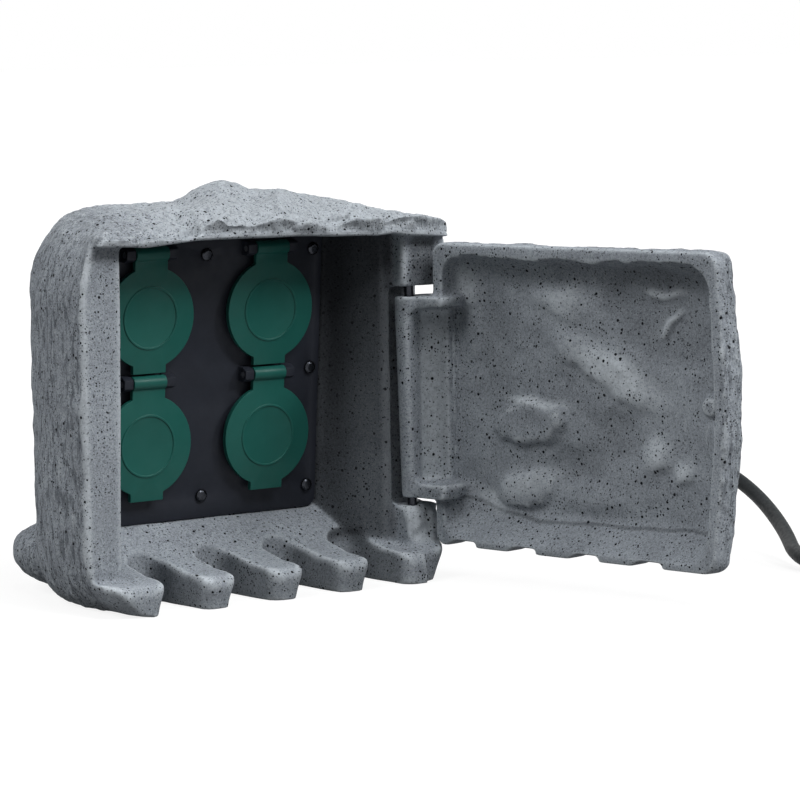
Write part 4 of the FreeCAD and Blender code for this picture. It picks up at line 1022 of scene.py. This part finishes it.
    def carve_fascia(self, stone: StoneSurface, grit: np.ndarray, ways: np.ndarray) -> None:
        """Chisels the roof's front edge: facets all along, strokes on the left and an undercut on the right.

        Args:
            stone: The surface to shape.
            grit: Where it is rough.
            ways: The points' outward directions.
        """
        x, _, z = stone.points.T
        fascia = self.fascia.weight(stone.points) * grit
        chisel = stone.facets(15, 2.2, fascia, (1.3, 1, 0.8)) + 0.5 * stone.facets(6, 8.8, fascia)
        scored = fascia * self.stroke_band.weight(stone.points)
        strokes = np.abs(self.strokes.heights(stone, scored))
        stone.push(chisel * fascia * self.chisel_rise - strokes * scored)
        stone.points[:, 1] += fascia * self.undercut.weight(stone.points) * self.undercut_depth
        clefts = sum(lump.height(x, z) for lump in self.fascia_clefts)
        stone.points[:, 1] += clefts * fascia * ramp(ways[:, 1], -0.2, -0.6)

    def hew_block(self, stone: StoneSurface) -> np.ndarray:
        """Hews the front of the lower hinge block.

        Args:
            stone: The surface to shape.

        Returns:
            Where it is hewn.
        """
        hewn = self.hewn_face.weight(stone.points)
        faces = stone.facets(9, 4.4, hewn) + 0.5 * stone.facets(4, 1.4, hewn)
        stone.push(faces * hewn * self.hewn_rise)
        return hewn

    def build(self, finishes: Finishes) -> bpy.types.Object:
        """Casts and weathers the housing.

        Args:
            finishes: The finishes to dress it with.

        Returns:
            The stone piece.
        """
        stone = StoneSurface("housing_shell", self.voxel, Matrix.Identity(4))
        stone.soften(5, ramp(stone.points[:, 2], 1, 6) * 0.8 + 0.2)
        ways = stone.normals()
        grit = self.grit(stone.points, ways)
        self.set_edges(stone)
        self.taper_toes(stone)
        self.plane_roof(stone)
        self.weather(stone, grit, ways)
        self.shape_crown(stone)
        self.carve_fascia(stone, grit, ways)
        hewn = self.hew_block(stone)
        smooth = 1 - grit
        stone.push(self.hand_waves.heights(stone, smooth) * smooth)
        stone.soften(1)
        x, _, z = stone.points.T
        # The roof top is painted paler as painted top light, less on its left part; the hewn face of the
        # lower hinge block is paler as chipped wear.
        painted_roof_light_and_hewn_wear = np.maximum(grit * ramp(z, 168, 180) * (0.3 + 0.5 * ramp(x, -60, -25)), hewn * 0.9)
        # Painted shade in the pocket, on the upper hinge block, the slots' sides and the fascia.
        painted_shade = self.painted_shade_weight(stone.points, stone.normals())
        return stone.build("stone_housing", Body.HOUSING.value, grit, finishes, painted_roof_light_and_hewn_wear, painted_shade)


@dataclass
class StoneDoor:
    """The swing door: rough outside, with a smooth rim and a hollow that follows the rock's lumps.

    Its own frame has X from the hinge to the far edge, Y outward through the door and Z up.
    """

    voxel: float = 1.1
    hinge: tuple[float, float] = (107.7, -44.0)
    open_angle: float = 99.6
    hollow_box: tuple[float, float, float, float] = (19.0, 187.5, 30.0, 163.5)
    rough_from: float = 8.0
    inner_lumps: tuple[Lump, ...] = (
        Lump(65, 80.5, 47, 23, 4.2, 3.0, 9.0), Lump(116, 108, 66, 17, 3.6, -26.0, 4.0),
        Lump(150, 138, 80, 50, -2.4, -14.0, 10.0), Lump(62, 47, 38, 18, 3.4, 12.0, 8.0),
        Lump(146, 68, 16, 17, 2.8, 30.0, 4.0), Lump(163, 62, 12, 10, 2.4, -30.0, 4.0),
        Lump(94, 60, 44, 20, -2.2, 8.0, 4.0), Lump(42, 112, 26, 56, -2.0, 0.0, 4.0),
        Lump(118, 78, 34, 26, -2.2, 0.0, 4.0), Lump(86, 141, 34, 16, 2.4, -12.0, 4.0),
        Lump(104, 46, 44, 12, 1.8), Lump(148, 147.5, 24, 3.2, 1.8, -4.0, 4.0),
        Lump(153, 132, 18, 3.2, 1.8, 36.0, 4.0), Lump(64, 91.5, 30, 2.4, 1.2, -5.0, 4.0),
        Lump(88, 118, 22, 22, 1.8, 0.0, 3.0))
    # Painted highlights on the tops of the lumps and ridges, with some rubbing.
    highlight_and_wear_spots: tuple[Lump, ...] = (
        Lump(120, 107, 48, 17, 1.6, -24.0), Lump(62, 50, 34, 13, 0.9, 12.0), Lump(87, 141, 30, 16, 0.8),
        Lump(146, 70, 16, 16, 0.9), Lump(163, 63, 12, 9, 0.9), Lump(66, 91.5, 38, 4, 1.2, -5.0),
        Lump(149, 148, 24, 4, 1.3, -4.0), Lump(24, 148, 16, 26, 1.0), Lump(152, 133, 16, 4, 1.1, 36.0),
        Lump(40, 40, 22, 8, 1.0, -14.0))
    crease_places: tuple[float, ...] = (19.5, 46, 71, 135, 184)
    crease_heights: tuple[float, ...] = (42, 35.5, 32.5, 33.5, 36)
    latch_blocks: tuple[Lump, ...] = (
        Lump(179.5, 95, 11, 10, 3.0, 0.0, 12.0), Lump(180, 79.5, 10, 19, 1.5, 0.0, 12.0))
    recess_slant: float = 5.0
    lump_rise: float = 1.15
    # Layers of noise
    bend_along: Grain = Grain(16, 3, 8.3, 2.6)
    bend_up: Grain = Grain(16, 3, 2.6, 2.6)
    face_waves: Grain = Grain(24, 3, 4.2, 1.1)
    ledge_waves: Grain = Grain(22, 4, 2.8, 2.2)
    broad: Grain = Grain(30, 3, 1.9, 1.1)
    chips: Grain = Grain(7, 4, 6.1, 0.6)
    # Regions in the door's own frame
    recess: Region = Region(x=(2.8, 3.6, 8, 13), y=(4, 18, 19.5, 20.5), z=(44, 50, 144, 150))
    # The arm recess's near wall, painted paler as painted light.
    channel: Region = Region(x=(2.5, 3.5, 10, 12), y=(2, 4), z=(46, 50, 146, 150))
    far_flange: Region = Region(x=(193, 197), z=(25, 31))
    arm_back: Region = Region(x=(27, 25), y=(20, 16))
    arm_end: Region = Region(x=(14, 9))
    above_foot: Region = Region(z=(20.5, 26))

    def to_local(self) -> Matrix:
        """Gives the turn from the object's frame to the door's own frame.

        Returns:
            The turn, in metres.
        """
        turn = math.radians(self.open_angle)
        along = Vector((-math.cos(turn), -math.sin(turn), 0))
        out = Vector((math.sin(turn), -math.cos(turn), 0))
        base = Vector((self.hinge[0] * MM, self.hinge[1] * MM, 0))
        local = Matrix((along, out, Vector((0, 0, 1)))).to_4x4()
        return local @ Matrix.Translation(-base)

    def slant_recess(self, stone: StoneSurface) -> None:
        """Slants the near wall of the arm's recess, so that it faces the open front.

        Args:
            stone: The surface to shape.
        """
        stone.points[:, 0] += self.recess.weight(stone.points) * self.recess_slant

    def rock_face(self, stone: StoneSurface, ways: np.ndarray) -> np.ndarray:
        """Weighs the face of the rock inside the door.

        Args:
            stone: The surface.
            ways: The points' outward directions.

        Returns:
            The weight of each point.
        """
        along, out, up = stone.points.T
        near, far, low, high = self.hollow_box
        face = within(along, near, near + 4, far - 4, far) * within(up, low, low + 4, high - 4, high)
        return face * ramp(ways[:, 1], -0.35, -0.75) * ramp(out, 22, 20.5)

    def hollow(self, stone: StoneSurface) -> np.ndarray:
        """Weighs the whole hollow with its side walls.

        Args:
            stone: The surface.

        Returns:
            The weight of each point.
        """
        along, out, up = stone.points.T
        near, far, low, high = self.hollow_box
        beside = within(along, near - 4, near, far - 1, far + 3)
        return beside * within(up, low - 14, low - 10, high - 1, high + 3) * ramp(out, 23, 21.5)

    def painted_crease_shade(self, stone: StoneSurface, bent: np.ndarray, face: np.ndarray) -> np.ndarray:
        """Weighs the painted shade in the crease at the foot of the rock and in its bowls.

        Args:
            stone: The surface.
            bent: How far each point's lumps are shifted upward.
            face: The weight of the rock's face.

        Returns:
            The weight of each point.
        """
        along, out, up = stone.points.T
        near, far, _, _ = self.hollow_box
        line = np.abs(up + 0.3 * bent - np.interp(along, self.crease_places, self.crease_heights))
        crease = ramp(line, 1.3, 0.4) * within(along, near, near + 3, far - 5, far - 2)
        bowls = sum(lump.height(along, up) for lump in self.inner_lumps if lump.rise < 0) * face
        return 0.4 * crease * within(out, 8, 11, 22, 24) - 0.07 * bowls

    def outer_grit(self, stone: StoneSurface, hollow: np.ndarray) -> np.ndarray:
        """Weighs the rough outside, which leaves the arm and the hollow smooth.

        Args:
            stone: The surface.
            hollow: The weight of the hollow.

        Returns:
            The weight of each point.
        """
        flange = 0.8 * self.far_flange.weight(stone.points)
        outside = np.maximum(ramp(stone.points[:, 1], self.rough_from, self.rough_from + 3), flange)
        arm = np.maximum(self.arm_back.weight(stone.points), self.arm_end.weight(stone.points))
        return outside * (1 - hollow) * (1 - arm)

    def build(self, finishes: Finishes) -> bpy.types.Object:
        """Casts and weathers the door.

        Args:
            finishes: The finishes to dress it with.

        Returns:
            The stone piece.
        """
        stone = StoneSurface("door", self.voxel, self.to_local())
        stone.soften(4)
        ways = stone.normals()
        face = self.rock_face(stone, ways)
        hollow = self.hollow(stone)
        self.slant_recess(stone)
        along, out, up = stone.points.T
        near, far, _, high = self.hollow_box
        uneven = self.bend_along.heights(stone, face)
        bent = self.bend_up.heights(stone, face)
        heights = sum(lump.height(along + uneven, up + bent) for lump in self.inner_lumps)
        heights = heights + sum(lump.height(along, up) for lump in self.latch_blocks)
        waves = self.face_waves.heights(stone, face)
        stone.points[:, 1] -= face * (self.lump_rise * heights + waves)
        # Painted highlights on the lumps' tops and painted light on the recess's near wall, with some wear.
        highlights_and_wear = np.clip(sum(lump.height(along + uneven, up + bent) for lump in self.highlight_and_wear_spots), 0, 1) * face
        highlights_and_wear = np.maximum(highlights_and_wear, self.channel.weight(stone.points) * ramp(ways[:, 0], 0.4, 0.8))
        # Painted shade in the crease, the bowls and the whole hollow, less where highlights are painted.
        painted_shade = np.clip(self.painted_crease_shade(stone, bent, face) + 0.13 * hollow * (1 - highlights_and_wear), 0, 1)
        ledge = ramp(up, high - 8, high - 4) * ramp(ways[:, 2], -0.2, -0.6) * within(out, 2, 4, 20, 22)
        ledge = ledge * within(along, near, near + 14, far - 14, far)
        stone.points[:, 2] += ledge * self.ledge_waves.heights(stone, ledge)
        grit = self.outer_grit(stone, hollow)
        relief = self.broad.heights(stone, grit) + self.chips.heights(stone, grit)
        stone.push(relief * grit * self.above_foot.weight(stone.points))
        stone.soften(1)
        return stone.build("stone_door", Body.DOOR.value, grit, finishes, highlights_and_wear, painted_shade)


# Cord

@dataclass
class SupplyCord:
    """The rubber cord from the gland to its plug: a free run, then a neat coil in a tie.

    The run's points and the coil's sizes repeat those of the part's source.
    """

    radius: float = 3.8
    run: tuple[tuple[float, float, float], ...] = (
        (0.142, 0.020, 0.048), (0.186, 0.020, 0.049), (0.238, 0.012, 0.0495), (0.282, -0.012, 0.045),
        (0.3073, -0.053, 0.0393), (0.3062, -0.0827, 0.0279), (0.2892, -0.1222, 0.0146),
        (0.2642, -0.158, 0.0049), (0.2645, -0.192, 0.0049), (0.2645, -0.222, 0.0049))
    coil_radius: float = 50.0
    pitch: float = 8.2
    lift: float = 8.1
    inward_turns: int = 2
    turns: int = 4
    points_per_turn: int = 16
    plug_height: float = 19.3
    tail_reaches: tuple[float, ...] = (0.0, 0.021, 0.041, 0.062)
    length: float = 1.44

    def coil_point(self, angle: float) -> Vector:
        """Gives a control point of the coil, in metres.

        Args:
            angle: How far round the coil it is, in radians.

        Returns:
            The point, set out a little so that the smooth line has the coil's own radius.
        """
        full = 2 * math.pi
        climb_start = self.inward_turns * full
        climb_end = climb_start + math.pi
        low = self.run[-1][2]
        inner = self.coil_radius - self.pitch * self.inward_turns
        if angle <= climb_start:
            radius, height = self.coil_radius - self.pitch * angle / full, low
        elif angle < climb_end:
            past = angle - climb_start
            share = past / math.pi
            radius = inner - self.pitch / full * (past - past ** 2 / math.pi)
            height = low + self.lift * MM * (3 * share ** 2 - 2 * share ** 3)
        else:
            radius, height = inner + self.pitch * (angle - climb_end) / full, low + self.lift * MM
        radius /= (3 + math.cos(full / self.points_per_turn)) / 4
        way = math.pi + angle
        centre = Vector((self.run[-1][0] + self.coil_radius * MM, self.run[-1][1], 0))
        return centre + Vector((radius * math.cos(way) * MM, radius * math.sin(way) * MM, height))

    def points(self) -> list[Vector]:
        """Lists the control points from the gland to the plug.

        Returns:
            The points, in metres.
        """
        step = 2 * math.pi / self.points_per_turn
        coil = [self.coil_point(step * index) for index in range(1, self.turns * self.points_per_turn + 1)]
        last_x, last_y, _ = self.run[-1]
        start = Vector((last_x + (self.coil_radius - self.plug_offset) * MM, last_y, coil[-1].z))
        tail = [start + Vector((0, -reach, 0)) for reach in self.tail_reaches]
        tail[2].z = tail[3].z = self.plug_height * MM
        return [Vector(spot) for spot in self.run] + coil[:-1] + tail

    @property
    def plug_offset(self) -> float:
        """How far the coil's last turn lies from its centre, in millimetres."""
        outward = self.turns - self.inward_turns - 0.5
        return self.coil_radius - self.pitch * self.inward_turns + self.pitch * outward

    def build(self, finishes: Finishes) -> None:
        """Draws the cord with its tie and plug.

        Args:
            finishes: The finishes to dress it with.
        """
        curve = bpy.data.curves.new("supply_cord_line", "CURVE")
        curve.dimensions = "3D"
        curve.resolution_u = 6
        curve.bevel_depth = self.radius * MM
        curve.bevel_resolution = 5
        curve.use_fill_caps = True
        spline = curve.splines.new("NURBS")
        spots = self.points()
        spline.points.add(len(spots) - 1)
        for control, spot in zip(spline.points, spots):
            control.co = (*spot, 1.0)
        spline.order_u = 3
        spline.use_endpoint_u = True
        cord = bpy.data.objects.new("supply_cord", curve)
        bpy.context.scene.collection.objects.link(cord)
        finishes.dress(cord, Slot.CORD)
        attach(cord, Body.HOUSING.value)
        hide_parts("supply_cord_run", "supply_cord_coil")
        plug = EasedCopy("plug_body", Slot.CORD, Body.HOUSING.value, 0.9, 3).build(finishes)
        pins = EasedCopy("plug_pins", Slot.BRIGHT, Body.HOUSING.value, 0.7, 3).build(finishes)
        earth = EasedCopy("plug_earth_contacts", Slot.BRASS, Body.HOUSING.value, 0.15).build(finishes)
        tie = self.tie(finishes)
        LOG.info("supply_cord: %d points", len(spots))

    def tie(self, finishes: Finishes) -> bpy.types.Object:
        """Wraps the woven tie round one side of the coil, in the space of its CAD node.

        Args:
            finishes: The finishes to dress it with.

        Returns:
            The tie.
        """
        low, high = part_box("cord_tie")
        middle = (low + high) / 2
        corner, thick, steps = 5 * MM, 1 * MM, 6
        form = bmesh.new()
        loops = []
        for inset in (0.0, thick):
            half_wide = (high.x - low.x) / 2 - corner
            half_high = (high.z - low.z) / 2 - corner
            for edge in (low.y, high.y):
                loop = []
                for quarter, (side, level) in enumerate(((1, 1), (-1, 1), (-1, -1), (1, -1))):
                    for step in range(steps + 1):
                        turn = math.radians(90 * quarter + 90 * step / steps)
                        spot = Vector((middle.x + side * half_wide + (corner - inset) * math.cos(turn), edge,
                                       middle.z + level * half_high + (corner - inset) * math.sin(turn)))
                        loop.append(form.verts.new(spot))
                loops.append(loop)
        order = (loops[0], loops[1], loops[3], loops[2])
        for first, second in zip(order, order[1:] + order[:1]):
            for index in range(len(first)):
                after = (index + 1) % len(first)
                form.faces.new((first[index], first[after], second[after], second[index]))
        bmesh.ops.recalc_face_normals(form, faces=form.faces)
        mesh = bpy.data.meshes.new("coil_tie")
        form.to_mesh(mesh)
        form.free()
        shade(mesh, 50)
        tie = new_object("coil_tie", mesh)
        finishes.dress(tie, Slot.TIE)
        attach(tie, Body.HOUSING.value)
        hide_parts("cord_tie")
        return tie


# Plate, lids and inner parts

@dataclass
class SocketPanel:
    """The carrier plate with its screws, lids, socket cups and contacts."""

    lids: int = 4

    def build(self, finishes: Finishes) -> None:
        """Eases the pieces that show and dresses the rest.

        Args:
            finishes: The finishes to dress them with.
        """
        housing = Body.HOUSING.value
        EasedCopy("socket_plate", Slot.BLACK, housing, 0.5, 2).build(finishes)
        # The plate's screws are darkened as painted shade.
        finishes.darken_as_shade(EasedCopy("plate_screws", Slot.BRIGHT, housing, 0.3, 2).build(finishes))
        for number in range(1, self.lids + 1):
            EasedCopy(f"lid_{number}", Slot.GREEN, Body.lid(number), 0.5, 3).build(finishes)
            EasedCopy(f"socket_insert_{number}", Slot.BLACK, housing, 0.3).build(finishes)
            finishes.dress_node(f"lid_gasket_{number}", Slot.SOFT)
            finishes.dress_node(f"earth_clip_{number}", Slot.STEEL)
        for node, slot in (("plate_gasket", Slot.SOFT), ("earth_screws", Slot.BRIGHT),
                           ("contact_sleeves", Slot.BRASS), ("live_busbar", Slot.BRASS),
                           ("neutral_busbar", Slot.BRASS), ("earth_busbar", Slot.BRASS),
                           ("lid_pins", Slot.STEEL), ("lid_springs", Slot.STEEL),
                           ("cord_leads", Slot.CORD)):
            finishes.dress_node(node, slot)


@dataclass
class CordEntry:
    """The cable gland in the right wall, and the door's two hinge pins."""

    def build(self, finishes: Finishes) -> None:
        """Eases the gland's parts and dresses the rest.

        Args:
            finishes: The finishes to dress them with.
        """
        housing = Body.HOUSING.value
        EasedCopy("gland_cap", Slot.BLACK, housing, 0.5, 3).build(finishes)
        EasedCopy("gland_body", Slot.BLACK, housing, 0.4, 2).build(finishes)
        EasedCopy("gland_nut", Slot.BLACK, housing, 0.5, 2).build(finishes)
        for node, slot in (("gland_seal", Slot.SOFT), ("cord_end", Slot.CORD),
                           ("door_pin_top", Slot.STEEL), ("door_pin_bottom", Slot.STEEL)):
            finishes.dress_node(node, slot)
        # The hinge pins are darkened as painted shade.
        for pin in ("door_pin_top", "door_pin_bottom"):
            finishes.darken_as_shade(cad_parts[pin])


# Studio

@dataclass
class Studio:
    """The photograph's viewpoint, a white floor and plain soft light."""

    place: tuple[float, float, float] = (-0.96925, -1.4845, 0.27014)
    yaw: float = 36.61
    pitch: float = 5.73
    roll: float = -0.96
    lens: float = 162.0
    sensor: float = 36.0
    fill: float = 0.05
    white: tuple[float, float, float, float] = (1.0, 1.0, 1.0, 1.0)
    floor_colour: tuple[float, float, float, float] = (0.2, 0.2, 0.2, 1.0)
    floor_glow: float = 0.86
    lamps: tuple[tuple[str, tuple[float, float, float], float, float], ...] = (
        ("front_key", (0.5, -0.66, 0.55), 1.15, 10),
        ("front_top", (0.12, -0.64, 0.76), 0.8, 12),
        ("top_box", (0.0, -0.45, 0.9), 1.0, 40),
        ("left_box", (-0.7, -0.1, 0.7), 1.2, 30),
        ("rear_box", (-0.8, 0.4, 0.5), 0.55, 40),
        ("right_box", (0.8, -0.5, 0.35), 0.5, 30),
        ("back_fill", (0.35, 0.88, 0.32), 0.6, 40))
    floor_reach: float = 30.0

    def camera(self) -> None:
        """Makes the camera at the photograph's place and direction."""
        yaw, pitch, roll = (math.radians(angle) for angle in (self.yaw, self.pitch, self.roll))
        ahead = Vector((math.sin(yaw) * math.cos(pitch), math.cos(yaw) * math.cos(pitch), -math.sin(pitch)))
        level = Vector((math.cos(yaw), -math.sin(yaw), 0))
        upward = level.cross(ahead)
        right = level * math.cos(roll) + upward * math.sin(roll)
        up = upward * math.cos(roll) - level * math.sin(roll)
        data = bpy.data.cameras.new("photo_camera")
        data.lens = self.lens
        data.sensor_width = self.sensor
        data.clip_start = 0.05
        data.clip_end = 60.0
        camera = bpy.data.objects.new("photo_camera", data)
        turn = Matrix((right, up, -ahead)).transposed().to_4x4()
        camera.matrix_world = Matrix.Translation(Vector(self.place)) @ turn
        bpy.context.scene.collection.objects.link(camera)
        bpy.context.scene.camera = camera

    @staticmethod
    def seen(board: NodeBoard) -> bpy.types.NodeSocket:
        """Gives 1 for rays that show the background: from the camera, off gloss or through glass.

        Args:
            board: The tree to add to.

        Returns:
            The weight's socket.
        """
        rays = board.node("LightPath").outputs
        shown = board.maths("MAXIMUM", rays["Is Camera Ray"], rays["Is Glossy Ray"])
        return board.maths("MAXIMUM", shown, rays["Is Transmission Ray"])

    def world(self) -> None:
        """Fills with even light, behind a white background."""
        world = bpy.data.worlds.new("studio_world")
        world.use_nodes = True
        board = NodeBoard(world.node_tree)
        fill = board.node("Background", {"Color": self.white, "Strength": self.fill})
        shown = board.node("Background", {"Color": self.white, "Strength": 1.0})
        mix = board.node("MixShader")
        for socket, source in zip(mix.inputs, (self.seen(board), fill.outputs[0], shown.outputs[0])):
            board.feed(socket, source)
        board.feed(board.node("OutputWorld").inputs[0], mix.outputs[0])
        bpy.context.scene.world = world

    def floor(self) -> None:
        """Lays a white floor that keeps a soft shadow."""
        reach = self.floor_reach
        mesh = bpy.data.meshes.new("studio_floor")
        corners = [(-reach, -reach, 0), (reach, -reach, 0), (reach, reach, 0), (-reach, reach, 0)]
        mesh.from_pydata(corners, [], [(0, 1, 2, 3)])
        material = bpy.data.materials.new("floor_white")
        material.use_nodes = True
        board = NodeBoard(material.node_tree)
        paint = board.node("BsdfDiffuse", {"Color": self.floor_colour})
        level = board.maths("MULTIPLY", self.seen(board), self.floor_glow)
        glow = board.node("Emission", {"Color": self.white, "Strength": level})
        both = board.node("AddShader")
        board.feed(both.inputs[0], paint.outputs[0])
        board.feed(both.inputs[1], glow.outputs[0])
        board.feed(board.node("OutputMaterial").inputs[0], both.outputs[0])
        mesh.materials.append(material)
        new_object("studio_floor", mesh)

    def lamp(self, name: str, way: tuple[float, float, float], strength: float, spread: float) -> None:
        """Hangs one soft far lamp.

        Args:
            name: The lamp's name.
            way: The direction from the object to the lamp.
            strength: Its strength.
            spread: How wide it looks from the object, in degrees.
        """
        data = bpy.data.lights.new(name, "SUN")
        data.energy = strength
        data.angle = math.radians(spread)
        lamp = bpy.data.objects.new(name, data)
        lamp.rotation_mode = "QUATERNION"
        lamp.rotation_quaternion = Vector(way).to_track_quat("Z", "Y")
        bpy.context.scene.collection.objects.link(lamp)

    def light(self) -> None:
        """Sets the world, floor and lamps."""
        bpy.context.scene.view_settings.view_transform = "Standard"
        self.world()
        self.floor()
        for name, way, strength, spread in self.lamps:
            self.lamp(name, way, strength, spread)


def main() -> None:
    """Builds the scene in order and notes its size."""
    logging.basicConfig(level=logging.INFO, format="%(name)s: %(message)s")
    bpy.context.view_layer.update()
    studio = Studio()
    studio.camera()
    finishes = Finishes()
    SupplyCord().build(finishes)
    StoneHousing().build(finishes)
    StoneDoor().build(finishes)
    SocketPanel().build(finishes)
    CordEntry().build(finishes)
    studio.light()


if __name__ == "__main__":
    main()
